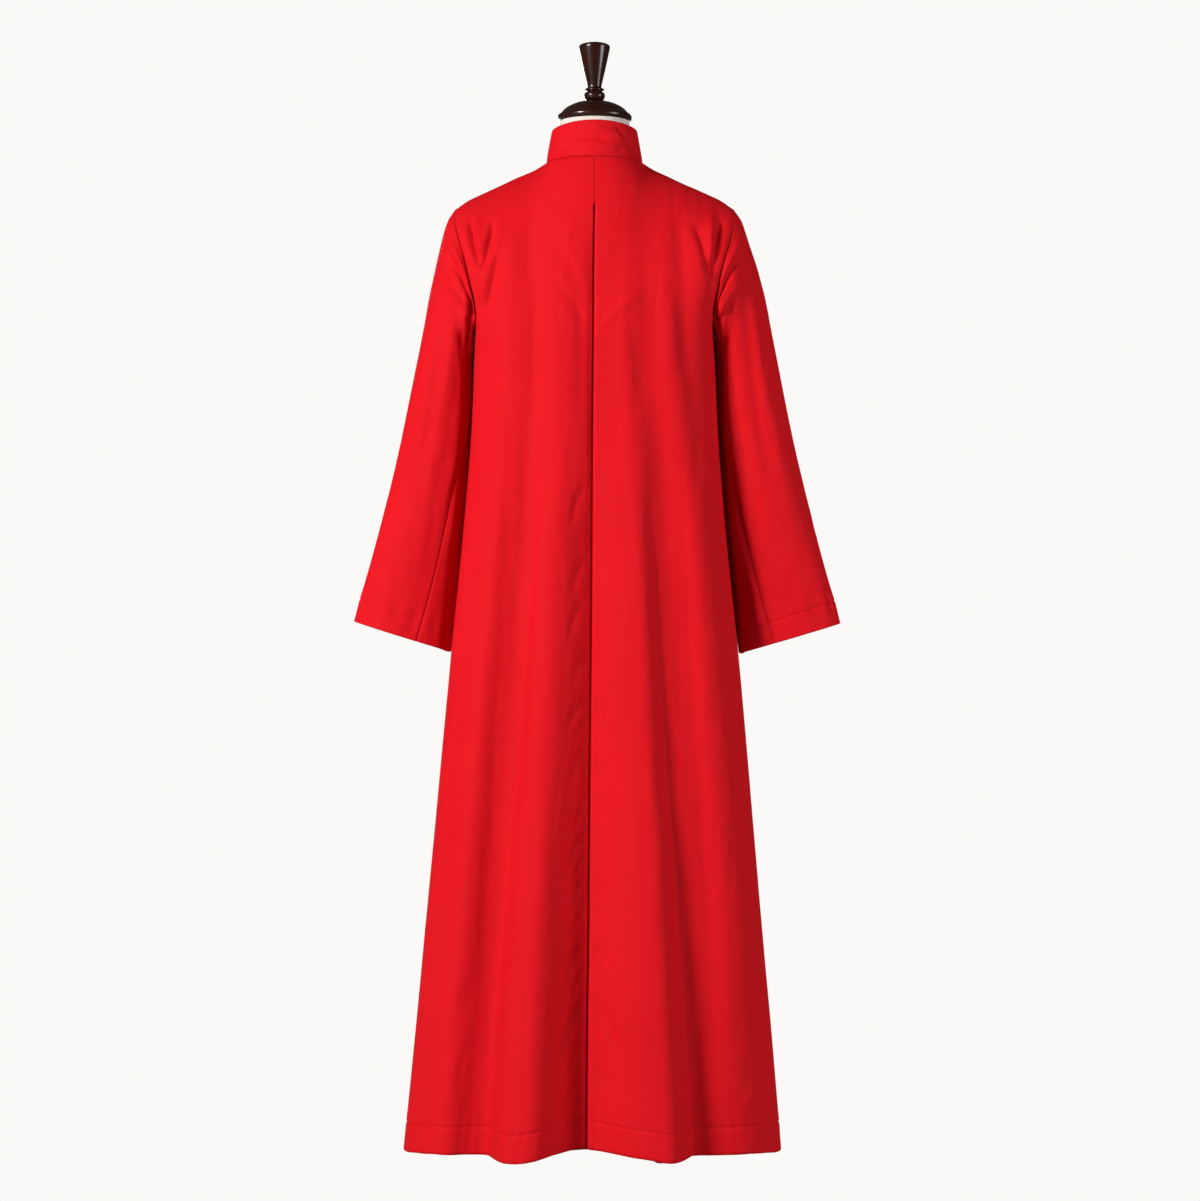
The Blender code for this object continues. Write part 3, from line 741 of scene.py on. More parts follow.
# radians in a metre across and down the cloth, phase and share of each wave of the slack
SLACK_WAVES = ((61.0, 7.0, 0.0, 0.34), (38.0, -11.0, 1.7, 0.30), (97.0, 19.0, 4.1, 0.20),
               (23.0, 31.0, 2.6, 0.20), (171.0, -14.0, 0.9, 0.13), (263.0, 23.0, 3.3, 0.07),
               (211.0, 37.0, 5.2, 0.06))
STITCH_LINE_WIDTH = 0.0022  # how wide the dip at a stitched line is
HEM_LINE = 0.0012  # how deep that dip is at the hem
CUFF_LINE = 0.0011  # and at a cuff
HEM_PUCKER = 0.0012  # how high the puckers at the hem stand
CUFF_PUCKER = 0.0019  # and at a cuff
PUCKER_LENGTH = 0.014  # how fast puckers fade above a stitched line
HEM_Z = 0.035  # the hem's height beside the slit
CHEST_TOP = 1.42  # where the fine streaks of the body begin
BODY_REACH = 0.26  # how far out from the centre line they reach
# height, and how much deeper the pleat's inner layers hang there: less where the shoulder blades are
SINK = ((0.0, 0.0085), (1.12, 0.0085), (1.20, 0.0048), (1.30, 0.0042), (1.34, 0.0018), (1.395, 0.0),
        (1.60, 0.0))


@dataclass(frozen=True)
class Crease:
    """A soft trough or ridge along a bowed line on a sheet."""

    start: tuple[float, float]
    end: tuple[float, float]
    rise: float  # metres out of the sheet, below zero for a trough
    width: float
    bow: float = 0.0
    skew: float = 0.0  # above zero, steeper on the line's left

    def height(self, a: Array, b: Array) -> Array:
        """How far the crease lifts the sheet.

        Args:
            a: places across the sheet.
            b: places along it.

        Returns:
            The lift at each place.
        """
        start, end = np.array(self.start), np.array(self.end)
        run = end - start
        length = np.hypot(*run)
        t = ((a - start[0]) * run[0] + (b - start[1]) * run[1]) / length**2
        aside = ((a - start[0]) * -run[1] + (b - start[1]) * run[0]) / length
        aside = aside - self.bow * np.sin(np.clip(t, 0, 1) * pi)
        aside = aside * (1 + self.skew * np.sign(aside))
        taper = smooth(t / 0.30) * smooth((1 - t) / 0.30)
        return self.rise * np.exp(-((aside / self.width) ** 2)) * taper


def creases(rows: Iterable[Row]) -> list[Crease]:
    """Creases from a table in millimetres.

    Args:
        rows: each crease's two ends, rise, width, bow and skew.

    Returns:
        The creases.
    """
    made = []
    for a0, b0, a1, b1, rise, width, bow, skew in rows:
        ends = (a0 / 1000, b0 / 1000), (a1 / 1000, b1 / 1000)
        made.append(Crease(*ends, rise / 1000, width / 1000, bow / 1000, skew))
    return made


def relief(rows: Iterable[Crease], a: Array, b: Array) -> Array:
    """The lift of several creases together.

    Args:
        rows: the creases.
        a: places across.
        b: places along.

    Returns:
        The lift at each place.
    """
    total = np.zeros(np.broadcast(a, b).shape)
    for crease in rows:
        total += crease.height(a, b)
    return total


def fine_strokes(seed: int, across: tuple[float, float], along: tuple[float, float],
                 count: int) -> list[Crease]:
    """Slight uneven streaks that run down hanging cloth.

    Args:
        seed: chooses the places.
        across: the least and greatest place across.
        along: the same along the cloth.
        count: how many.

    Returns:
        The creases.
    """
    chance = np.random.default_rng(seed)
    made = []
    for _ in range(count):
        a, b = chance.uniform(*across), chance.uniform(*along)
        length, lean = chance.uniform(0.05, 0.17), chance.normal(0.0, 0.010)
        rise = chance.uniform(0.00022, 0.00055) * (1 if chance.random() < 0.42 else -1)
        width, bow = chance.uniform(0.0035, 0.0070), chance.normal(0.0, 0.004)
        made.append(Crease((a, b - length / 2), (a + lean, b + length / 2), rise, width, bow))
    return made


def body_streaks(side: Side, seed: int, count: int) -> list[Crease]:
    """The fine streaks on one side of the body.

    Args:
        side: the wearer's side.
        seed: chooses the places.
        count: how many.

    Returns:
        The creases.
    """
    reach = BODY_REACH * side.value
    return fine_strokes(seed + side.value, (min(reach, 0.0), max(reach, 0.0)), (0.08, CHEST_TOP), count)


def long_folds(rows: Iterable[tuple[Row, Row, float]], heights: Row, x: Array, z: Array) -> Array:
    """How far long folds lift a body panel.

    Args:
        rows: each fold's places across and its rises at the heights, in millimetres, and its flank's width.
        heights: the heights, from the top down.
        x: places across the panel.
        z: heights on it.

    Returns:
        The lift at each point.
    """
    total = np.zeros(np.shape(x))
    for places, rises, flank in rows:
        centre = Curve(list(zip(heights, places)))(z) / 1000
        rise = Curve(list(zip(heights, rises)))(z) / 1000
        total += rise * np.exp(-(((x - centre) * 1000 / flank) ** 2))
    return total


def slack(a: Array, b: Array, phase: float) -> Array:
    """The slight unevenness of cloth that hangs: slow waves, longer down the cloth than across.

    Args:
        a: places across, in metres.
        b: places down.
        phase: shifts the waves from piece to piece.

    Returns:
        The lift, from about -1 to 1.
    """
    total = np.zeros(np.broadcast(a, b).shape)
    for across, down, turn, share in SLACK_WAVES:
        total += share * np.sin(across * a + down * b + turn + phase)
    return total


@dataclass
class Sheet:
    """One piece of cloth as a grid: its outer face, its grain and its thickness by row."""

    name: str
    points: Array
    thickness: Array
    bulge: float = 0.45

    def arcs(self) -> tuple[Array, Array]:
        """Lengths along the rows and down the columns.

        Returns:
            The two lengths at each point.
        """
        across = np.linalg.norm(np.diff(self.points, axis=1), axis=2)
        down = np.linalg.norm(np.diff(self.points, axis=0), axis=2)
        zero = np.zeros((len(self.points), 1))
        one = np.zeros((1, self.points.shape[1]))
        return (np.concatenate([zero, np.cumsum(across, axis=1)], axis=1),
                np.concatenate([one, np.cumsum(down, axis=0)], axis=0))

    def _mid_ring(self, inner: Array) -> Array:
        """The rim between the two faces, rounded a little outwards.

        Args:
            inner: the inner face.

        Returns:
            A grid whose border holds the rim.
        """
        middle = (self.points + inner) / 2
        out = np.zeros_like(middle)
        out[0] += self.points[0] - self.points[1]
        out[-1] += self.points[-1] - self.points[-2]
        out[:, 0] += self.points[:, 0] - self.points[:, 1]
        out[:, -1] += self.points[:, -1] - self.points[:, -2]
        out /= np.maximum(np.linalg.norm(out, axis=2, keepdims=True), 1e-9)
        return middle + out * self.bulge * self.thickness.reshape(-1, 1, 1) / 2

    def build(self, finish: Finish) -> bpy.types.Object:
        """The cloth as a closed shell that rides on the model.

        Args:
            finish: its finish.

        Returns:
            The piece.
        """
        rows, columns = self.points.shape[:2]
        count = rows * columns
        inner = self.points - grid_normals(self.points) * self.thickness.reshape(-1, 1, 1)
        border = [(0, j) for j in range(columns)] + [(i, columns - 1) for i in range(1, rows)]
        border += [(rows - 1, j) for j in range(columns - 2, -1, -1)]
        border += [(i, 0) for i in range(rows - 2, 0, -1)]
        ring = np.array([i * columns + j for i, j in border])
        middle = self._mid_ring(inner).reshape(-1, 3)[ring]
        points = np.concatenate([self.points.reshape(-1, 3), inner.reshape(-1, 3), middle])
        index = np.arange(count).reshape(rows, columns)
        corners = [index[:-1, :-1], index[:-1, 1:], index[1:, 1:], index[1:, :-1]]
        quads = np.stack(corners, axis=-1).reshape(-1, 4)
        rim = np.arange(len(ring)) + 2 * count
        after, rim_after = np.roll(ring, -1), np.roll(rim, -1)
        faces = np.concatenate([
            quads, quads[:, ::-1] + count,
            np.stack([after, ring, rim, rim_after], axis=-1),
            np.stack([rim_after, rim, ring + count, after + count], axis=-1),
        ])
        mesh = bpy.data.meshes.new(self.name)
        mesh.from_pydata(points.tolist(), [], faces.tolist())
        across, down = self.arcs()
        grain = np.stack([across, down], axis=-1).reshape(-1, 2)
        grain = np.concatenate([grain, grain, grain[ring]])
        layer = mesh.uv_layers.new(name="grain")
        loops = np.empty(len(mesh.loops), np.int32)
        mesh.loops.foreach_get("vertex_index", loops)
        layer.data.foreach_set("uv", grain[loops].astype(np.float32).ravel())
        mesh.shade_smooth()
        mesh.update()
        return place(bpy.data.objects.new(self.name, mesh), finish)


def place(piece: bpy.types.Object, finish: Finish) -> bpy.types.Object:
    """Links a new piece, gives it its finish and lets it ride on the model.

    Args:
        piece: an object at the origin.
        finish: its finish.

    Returns:
        The same piece.
    """
    if piece.name not in bpy.context.scene.collection.objects:
        bpy.context.scene.collection.objects.link(piece)
    piece.data.materials.clear()
    piece.data.materials.append(finish.make())
    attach(piece, ROOT)
    log.info("%s: %d faces", piece.name, len(piece.data.polygons))
    return piece


def shelf(counts: Iterable[tuple[float, float, int]]) -> Array:
    """Places along a line, spaced by stretches.

    Args:
        counts: each stretch's start, end and number of steps.

    Returns:
        The places, in order and once each.
    """
    runs = [np.linspace(start, end, steps + 1)[:-1] for start, end, steps in counts]
    return np.append(np.concatenate(runs), counts[-1][1])


def body_rows() -> tuple[Array, Array]:
    """The rows that both body panels of a side share.

    Returns:
        Each row's share of height, and the cloth's thickness there.
    """
    hem = CUT.hem_depth / CUT.underarm_z
    shares = shelf([(0.0, hem - 0.006, 6), (hem - 0.006, hem, 6), (hem, hem + 0.006, 6),
                    (hem + 0.006, 0.62, 104), (0.62, 1.0, 60), (1.0, 1.035, 8), (1.035, 1.5, 42),
                    (1.5, 2.0, 36)])
    thickness = np.where(shares <= hem + 1e-9, HEM_CLOTH, CLOTH)
    return shares, thickness



# --- the cassock's pieces -----------------------------------------------------------------


@dataclass
class Sewn:
    """Pieces of cloth that are cut alike, with their outer points and normals once they are built."""

    shown: dict[Any, tuple[Array, Array]] = field(default_factory=dict)

    def finish(self, sheet: Sheet, node: str) -> bpy.types.Object:
        """Builds a sheet as cloth that hangs on the dress form.

        Args:
            sheet: the sheet.
            node: the model's piece that it stands for.

        Returns:
            The piece.
        """
        piece = sheet.build(SCARLET)
        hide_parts(node)
        return piece


@dataclass
class BackPanels(Sewn):
    """The two back panels, whose centre edges roll under into the inverted pleat, and its underlay."""

    side_columns: int = 26
    fold_columns: int = 68
    centre_columns: int = 32
    roll_steps: int = 8
    under_columns: int = 10
    shut_low: float = 1.398  # above this the two edges close up towards the collar
    shut_rise: float = 0.022
    shut_radius: float = 0.0011
    shut_gap: float = 0.00015
    drift_reach: float = 0.10  # how far from the slit the cloth moves with it
    # heights and how far the hanging slit leans towards the wearer's left
    drift: tuple[Row, ...] = ((0.00, 0.0110), (0.10, 0.0106), (0.25, 0.0094), (0.35, 0.0080), (0.46, 0.0074),
                              (0.60, 0.0062), (0.745, 0.0048), (0.92, 0.0036), (1.08, 0.0028), (1.21, 0.0016),
                              (1.33, 0.0008), (1.42, 0.0), (1.60, 0.0))
    # millimetres from the centre line and up: two ends, rise, width, bow, skew
    left_creases: tuple[Row, ...] = (
        (184, 1406, 168, 1316, -8.0, 5.0, 3.0, 0.1),
        (172, 1408, 166, 1336, 2.6, 5.0, 2.0, 0.0),
        (148, 1402, 170, 1306, -7.6, 6.0, -3.0, 0.1),
        (136, 1392, 156, 1318, 2.4, 7.0, -3.0, 0.0),
        (142, 1356, 166, 1240, -6.0, 8.0, -4.0, 0.1),
        (176, 1322, 168, 1256, -2.4, 5.0, 2.0, 0.0),
        (121, 1404, 134, 1266, 1.8, 13.0, -4.0, 0.1),
        (63, 1362, 12, 1236, -2.4, 13.0, -14.0, -0.2),
        (66, 1306, 6, 1226, -2.4, 6.5, -6.0, -0.2),
        (44, 1350, 8, 1262, 1.6, 9.0, -8.0, 0.0),
        (24, 1290, 18, 1080, -2.6, 11.0, -3.0, 0.2),
        (148, 1180, 152, 960, -1.6, 12.0, 3.0, 0.0),
        (5, 1010, 32, 936, -2.7, 6.0, 6.0, 0.3),
        (5, 900, 31, 842, -3.1, 5.0, 6.0, 0.3),
        (5, 842, 34, 776, -2.5, 5.0, 7.0, 0.3),
        (5, 762, 29, 708, -3.1, 4.6, 6.0, 0.4),
        (5, 700, 35, 644, -3.4, 5.0, 6.0, 0.3),
        (5, 664, 24, 622, -2.0, 4.0, 4.0, 0.3),
        (5, 626, 32, 564, -3.1, 5.0, 7.0, 0.3),
        (5, 540, 27, 492, -2.4, 4.2, 5.0, 0.3),
        (5, 500, 35, 440, -3.7, 5.4, 8.0, 0.4),
        (5, 462, 28, 412, -3.1, 4.2, 6.0, 0.3),
        (5, 436, 26, 386, -3.2, 4.2, 6.0, 0.3),
        (5, 388, 30, 336, -2.4, 4.6, 6.0, 0.3),
        (5, 348, 40, 268, -4.1, 6.0, 9.0, 0.4),
        (5, 300, 26, 256, -2.4, 4.2, 5.0, 0.3),
        (5, 262, 50, 164, -4.4, 6.6, 9.0, 0.4),
        (5, 200, 32, 144, -3.2, 4.8, 7.0, 0.4),
        (5, 150, 45, 98, -3.4, 5.4, 6.0, 0.3),
        (176, 300, 206, 150, -2.0, 13.0, 5.0, 0.1),
        (186, 190, 196, 110, -1.4, 6.0, 3.0, 0.0),
        (204, 330, 172, 330, -0.5, 1.8, 0.0, 0.0),
    )
    right_creases: tuple[Row, ...] = (
        (-108, 1344, -133, 1150, -2.4, 12.0, -5.0, 0.1),
        (-4, 1226, -78, 1280, 2.4, 6.5, -7.0, 0.0),
        (-3, 1240, -46, 1254, -1.3, 5.5, -3.0, 0.0),
        (-189, 1408, -178, 1292, -8.0, 6.0, 3.0, 0.1),
        (-174, 1412, -170, 1320, 4.4, 6.0, 2.0, 0.0),
        (-146, 1398, -172, 1300, -7.4, 7.0, -3.0, 0.1),
        (-126, 1402, -128, 1290, -2.6, 9.0, 3.0, 0.0),
        (-172, 1318, -166, 1250, -2.6, 6.0, -2.0, 0.0),
        (-57, 1270, -61, 1080, -2.6, 13.0, -3.0, 0.1),
        (-36, 1372, -31, 1270, -1.2, 11.0, 2.0, 0.0),
        (-146, 1170, -150, 980, -1.6, 11.0, -3.0, 0.0),
        (-4, 684, -24, 658, -2.5, 4.4, -4.0, 0.2),
        (-4, 600, -20, 576, -1.9, 4.0, -3.0, 0.2),
        (-4, 552, -28, 512, -2.1, 4.4, -5.0, 0.2),
        (-4, 430, -22, 402, -1.9, 4.0, -4.0, 0.2),
        (-4, 334, -24, 308, -3.4, 4.2, -5.0, 0.3),
        (-4, 258, -40, 164, -2.8, 5.0, -8.0, 0.3),
        (-4, 168, -32, 122, -2.5, 4.4, -5.0, 0.2),
        (-90, 560, -126, 95, 0.5, 2.6, 0.0, 0.0),
        (-166, 330, -246, 330, 0.6, 1.6, 0.0, 0.0),
        (-214, 180, -226, 110, -1.0, 6.0, -3.0, 0.0),
        (-236, 130, -214, 96, 1.2, 5.0, -2.0, 0.0),
    )

    fold_heights: Row = (1.42, 1.34, 1.20, 1.08, 0.92, 0.70, 0.40, 0.10)
    left_folds: tuple[tuple[Row, Row, float], ...] = (
        ((118, 122, 127, 135, 148, 166, 192, 212), (0.6, 2.6, 4.8, 4.4, 3.4, 2.6, 3.4, 3.0), 17.0),
        ((88, 89, 88, 92, 104, 120, 142, 162), (0.0, -2.4, -5.8, -5.8, -4.6, -3.8, -4.2, -3.6), 16.0),
        ((52, 52, 52, 54, 60, 70, 82, 92), (0.0, 1.4, 4.2, 5.0, 5.6, 7.4, 10.0, 11.4), 26.0),
        ((-2, -8, -12, -12, -10, -6, -2, 2), (-0.4, -4.0, -8.0, -9.0, -9.0, -8.8, -9.4, -10.0), 24.0),
        ((-3, -3, -3, -3, -3, -3, -3, -3), (0.0, -3.2, -4.2, -4.0, -3.0, -1.4, -1.0, -1.0), 11.0),
    )
    right_folds: tuple[tuple[Row, Row, float], ...] = (
        ((-46, -48, -50, -58, -70, -86, -106, -122), (0.0, 1.2, 4.0, 4.2, 3.6, 3.2, 5.0, 6.0), 21.0),
        ((-76, -78, -80, -92, -108, -128, -154, -176), (0.0, -1.4, -4.4, -4.6, -4.2, -2.6, 1.6, 5.0), 18.0),
        ((-104, -106, -112, -128, -148, -170, -196, -220), (0.0, 1.4, 3.0, 3.2, 2.6, 1.2, 0.4, 0.0), 21.0),
        ((-132, -133, -136, -148, -164, -180, -204, -220), (-0.6, -4.0, -3.0, -0.2, 0, 0, 0, 0), 14.0),
    )

    def grid(self, side: Side) -> Sheet:
        """A panel's outer face, before its creases.

        Args:
            side: the wearer's side.

        Returns:
            The sheet, without the part that turns under.
        """
        shares, thickness = body_rows()
        across = shelf([(0.0, 0.22, self.centre_columns), (0.22, 0.91, self.fold_columns)])[::-1]
        u = np.concatenate([np.linspace(0, 0.30, self.side_columns)[:-1],
                            np.arccos(np.maximum(across, 0.0) ** (1 / CUT.corner)) * 2 / pi])
        shown = CUT.body(side, Face.BACK, u, shares)
        return Sheet(f"back_panel_{side.word}", shown, thickness)

    def build(self, side: Side) -> bpy.types.Object:
        """One back panel.

        Args:
            side: the wearer's side.

        Returns:
            The piece.
        """
        sheet = self.grid(side)
        shown = sheet.points = ease_chest(sheet)
        x, z = shown[..., 0], shown[..., 2]
        rows = creases(self.left_creases if side is Side.LEFT else self.right_creases)
        fine = relief(body_streaks(side, 31, 150), x, z)
        lift = relief(rows, x, z) + (fine + GENTLE * slack(x, z, 0.8 * side.value)) * edge_fade(sheet)
        folds = self.left_folds if side is Side.LEFT else self.right_folds
        across = sheet.arcs()[0]
        lift += long_folds(folds, self.fold_heights, x, z) * smooth(across / 0.03)
        lift += hem_puckers(sheet, 3.0 * side.value) + seam_dips(sheet)
        normals = grid_normals(shown) * (-1 if side is Side.RIGHT else 1)
        normals *= np.sign(normals[len(normals) // 3, 40, 1])
        shown = shown + normals * lift[..., None]
        shares = body_rows()[0]
        shut = smooth((z[:, -1:] - self.shut_low) / self.shut_rise)
        radius = CUT.pleat_turn + (self.shut_radius - CUT.pleat_turn) * shut
        gain = CUT.slit + CUT.pleat_turn - self.shut_gap - radius
        near = smooth(1 - np.abs(x) / 0.022)
        shown[..., 0] -= side.value * (gain * shut / near[:, -1:]) * near
        columns = [shown]
        edge, base = shown[:, -1], sheet.points[:, -1]
        for step in range(1, self.roll_steps + 1):
            turn = pi * step / self.roll_steps
            sideways = side.value * (gain * shut + radius * np.sin(turn))
            shift = np.concatenate([-sideways, radius * (np.cos(turn) - 1), 0 * radius], axis=1)
            part = step / self.roll_steps
            lift_left = (edge - base) * (0, 1, 1) * (1 - part)
            lift_left[:, 1] -= part * under_sink(edge[:, 2])
            columns.append((base + lift_left + shift)[:, None])
        parts = np.linspace(0, 1, self.under_columns + 1)[1:]
        sunk = np.array([0.0, 2 * CUT.pleat_turn, 0.0])
        under = np.array([under_panel(side, share, parts) for share in shares]) - sunk
        points = np.concatenate([*columns, under], axis=1)
        points = self.leaning(points)
        shown = points[:, :shown.shape[1]]
        sheet.points = points[:, ::-1] if side is Side.RIGHT else points
        self.shown[side] = (shown, normals)
        return self.finish(sheet, f"back_{side.word}")

    def leaning(self, points: Array) -> Array:
        """Points moved sideways with the slit, which leans a little as it hangs.

        Args:
            points: the cloth's points.

        Returns:
            The moved points.
        """
        lean = Curve(self.drift)(points[..., 2]) * smooth(1 - np.abs(points[..., 0]) / self.drift_reach)
        return points + lean[..., None] * (1, 0, 0)

    def underlay(self) -> bpy.types.Object:
        """The cloth behind the slit, sewn to both turned-under edges.

        Returns:
            The piece.
        """
        shares, thickness = body_rows()
        shares, thickness = shares[::2], thickness[::2]
        parts = np.linspace(0, 1, 12)
        sunk = np.array([0.0, CUT.underlay_sink, 0.0])
        left = np.array([under_panel(Side.LEFT, share, parts[::-1]) for share in shares]) - sunk
        right = np.array([under_panel(Side.RIGHT, share, parts) for share in shares]) - sunk
        points = self.leaning(np.concatenate([left, right], axis=1))
        return self.finish(Sheet("pleat_underlay_cloth", points, thickness), "pleat_underlay")


def under_panel(side: Side, share: float, parts: Array) -> Array:
    """Points on a back panel, by shares of the pleat's width from the slit.

    Args:
        side: the wearer's side.
        share: the row's height.
        parts: the shares.

    Returns:
        The points.
    """
    centre = CUT.slit + CUT.pleat_turn
    edge_z = CUT.body(side, Face.BACK, [1.0], [share])[0, 0, 2]
    width = CUT.pleat_top + (CUT.pleat_hem - CUT.pleat_top) * (1 - edge_z / CUT.neck_z) - centre
    points = CUT.body_at(side, Face.BACK, share, centre + parts * width)
    return points - under_sink(edge_z) * np.array([0.0, 1.0, 0.0])


def under_sink(z: Any) -> Any:
    """How much deeper the pleat's inner layers hang than the panel's own form, clear of its folds.

    Args:
        z: heights.

    Returns:
        The depths.
    """
    return Curve(SINK)(np.asarray(z))


def ease_chest(sheet: Sheet, turns: int = 320) -> Array:
    """A body panel's grid with its chest and shoulders drawn smooth between the seams.

    Args:
        sheet: the panel's shown grid, from its outer edge to the centre.
        turns: how often the cloth is eased.

    Returns:
        The eased points.
    """
    across, down = sheet.arcs()
    free = smooth(across / 0.045) * smooth((down[-1:] - down) / 0.055)
    free *= smooth((down - 0.90) / 0.16)
    points = sheet.points.copy()
    for _ in range(turns):
        padded = np.concatenate([points, points[:, -2:-1] * (-1, 1, 1) + (2, 0, 0) * points[:, -1:]], axis=1)
        inner = padded[1:-1, 1:-1]
        mean = (padded[:-2, 1:-1] + padded[2:, 1:-1] + padded[1:-1, :-2] + padded[1:-1, 2:]) / 4
        points[1:-1, 1:] = inner + (mean - inner) * free[1:-1, 1:, None]
    return points


def edge_fade(sheet: Sheet, width: float = 0.03) -> Array:
    """1 in the middle of a sheet and 0 at its seams.

    Args:
        sheet: the sheet.
        width: how far the fade reaches.

    Returns:
        The fade at each point.
    """
    across, down = sheet.arcs()
    left, right = across, across[:, -1:] - across
    top = down[-1:] - down
    return smooth(left / width) * smooth(right / width) * smooth(top / width)


def seam_dips(sheet: Sheet) -> Array:
    """How far a body panel dips at its seams: the first column and the last row.

    Args:
        sheet: the panel's shown grid.

    Returns:
        The lift at each point, below zero.
    """
    across, down = sheet.arcs()
    dips = np.exp(-((across / SEAM_SPREAD) ** 2)) + np.exp(-(((down[-1:] - down) / SEAM_SPREAD) ** 2))
    return -SEAM_ROLL * np.minimum(dips, 1.0)


def hem_puckers(sheet: Sheet, phase: float) -> Array:
    """The stitched line above the hem, and the short puckers that it draws up.

    Args:
        sheet: the panel's shown grid.
        phase: shifts the puckers.

    Returns:
        The lift at each point.
    """
    across, down = sheet.arcs()
    off = down - CUT.hem_depth
    line = -HEM_LINE * np.exp(-((off / STITCH_LINE_WIDTH) ** 2))
    swell = 0.5 + 0.5 * np.sin(across * 41.0 + phase) * np.sin(across * 23.0 - 1.3 * phase)
    ripple = np.sin(across * 330.0 + 2.2 * np.sin(across * 57.0 + phase))
    reach = np.where(off > 0, np.exp(-off / PUCKER_LENGTH), np.exp(off / 0.026))
    return line + HEM_PUCKER * swell**1.5 * ripple * reach


@dataclass
class FrontPanels(Sewn):
    """The two front panels; the wearer's left laps over the right."""

    side_columns: int = 30
    centre_columns: int = 56
    lap_columns: int = 8

    # millimetres from the centre line and up, as for the back
    left_creases: tuple[Row, ...] = (
        (158, 1378, 160, 1310, -2.2, 6.0, 3.0, 0.2),
        (142, 1370, 150, 1262, 2.0, 9.0, -4.0, 0.1),
        (88, 1400, 60, 1260, -1.8, 14.0, -8.0, 0.0),
        (100, 1320, 104, 1050, -2.6, 16.0, 5.0, 0.1),
        (60, 1230, 64, 900, -1.8, 13.0, -3.0, 0.1),
        (150, 1160, 154, 940, -1.6, 12.0, 3.0, 0.0),
        (30, 900, 58, 780, -1.2, 9.0, 6.0, 0.2),
        (28, 560, 64, 420, -1.6, 9.0, 8.0, 0.2),
        (30, 260, 60, 130, -1.6, 9.0, 7.0, 0.2),
        (178, 300, 204, 150, -1.8, 12.0, 5.0, 0.1),
    )
    right_creases: tuple[Row, ...] = (
        (-156, 1376, -162, 1308, -2.0, 6.0, -3.0, 0.2),
        (-140, 1366, -152, 1264, 1.8, 9.0, 4.0, 0.1),
        (-92, 1398, -66, 1270, -1.6, 14.0, 8.0, 0.0),
        (-104, 1310, -110, 1060, -2.4, 15.0, -5.0, 0.1),
        (-56, 1200, -60, 930, -1.6, 12.0, 3.0, 0.1),
        (-148, 1150, -152, 950, -1.5, 12.0, -3.0, 0.0),
        (-34, 860, -60, 740, -1.1, 9.0, -6.0, 0.2),
        (-34, 500, -66, 380, -1.4, 9.0, -8.0, 0.2),
        (-180, 280, -208, 140, -1.6, 12.0, -5.0, 0.1),
    )

    def build(self, side: Side) -> bpy.types.Object:
        """One front panel.

        Args:
            side: the wearer's side.

        Returns:
            The piece.
        """
        shares, thickness = body_rows()
        u = np.concatenate([np.linspace(0, 0.30, self.side_columns)[:-1],
                            np.linspace(0.30, 1.0, self.centre_columns)])
        cut = CUT.body(side, Face.FRONT, u, shares)
        shown = ease_chest(Sheet("", cut, thickness))
        other = Side.RIGHT if side is Side.LEFT else Side.LEFT
        reach = np.linspace(0, CUT.front_lap, self.lap_columns + 1)[1:]
        lap = np.array([CUT.body_at(other, Face.FRONT, share, reach) for share in shares])
        points = np.concatenate([shown, lap + shown[:, -1:] - cut[:, -1:]], axis=1)
        if side is Side.RIGHT:
            near = (CUT.front_lap * 2.4 + points[..., 0]) / (CUT.front_lap * 1.1)
            points[..., 1] += CUT.lap_sink * smooth(near)
        sheet = Sheet(f"front_panel_{side.word}", points, thickness)
        x, z = points[..., 0], points[..., 2]
        rows = creases(self.left_creases if side is Side.LEFT else self.right_creases)
        fade = edge_fade(sheet, 0.05)
        rows += body_streaks(side, 57, 110)
        lift = (relief(rows, x, z) + GENTLE * slack(x, z, 2.0 + 0.7 * side.value)) * fade
        lift += hem_puckers(sheet, 1.4 * side.value) * smooth((np.abs(x) - 0.03) / 0.03)
        lift += seam_dips(sheet)
        normals = grid_normals(points)
        normals *= -np.sign(normals[len(normals) // 3, 30, 1])
        sheet.points = points + normals * lift[..., None]
        self.shown[side] = (sheet.points, normals)
        if side is Side.LEFT:
            sheet.points = sheet.points[:, ::-1]
        return self.finish(sheet, f"front_{side.word}")


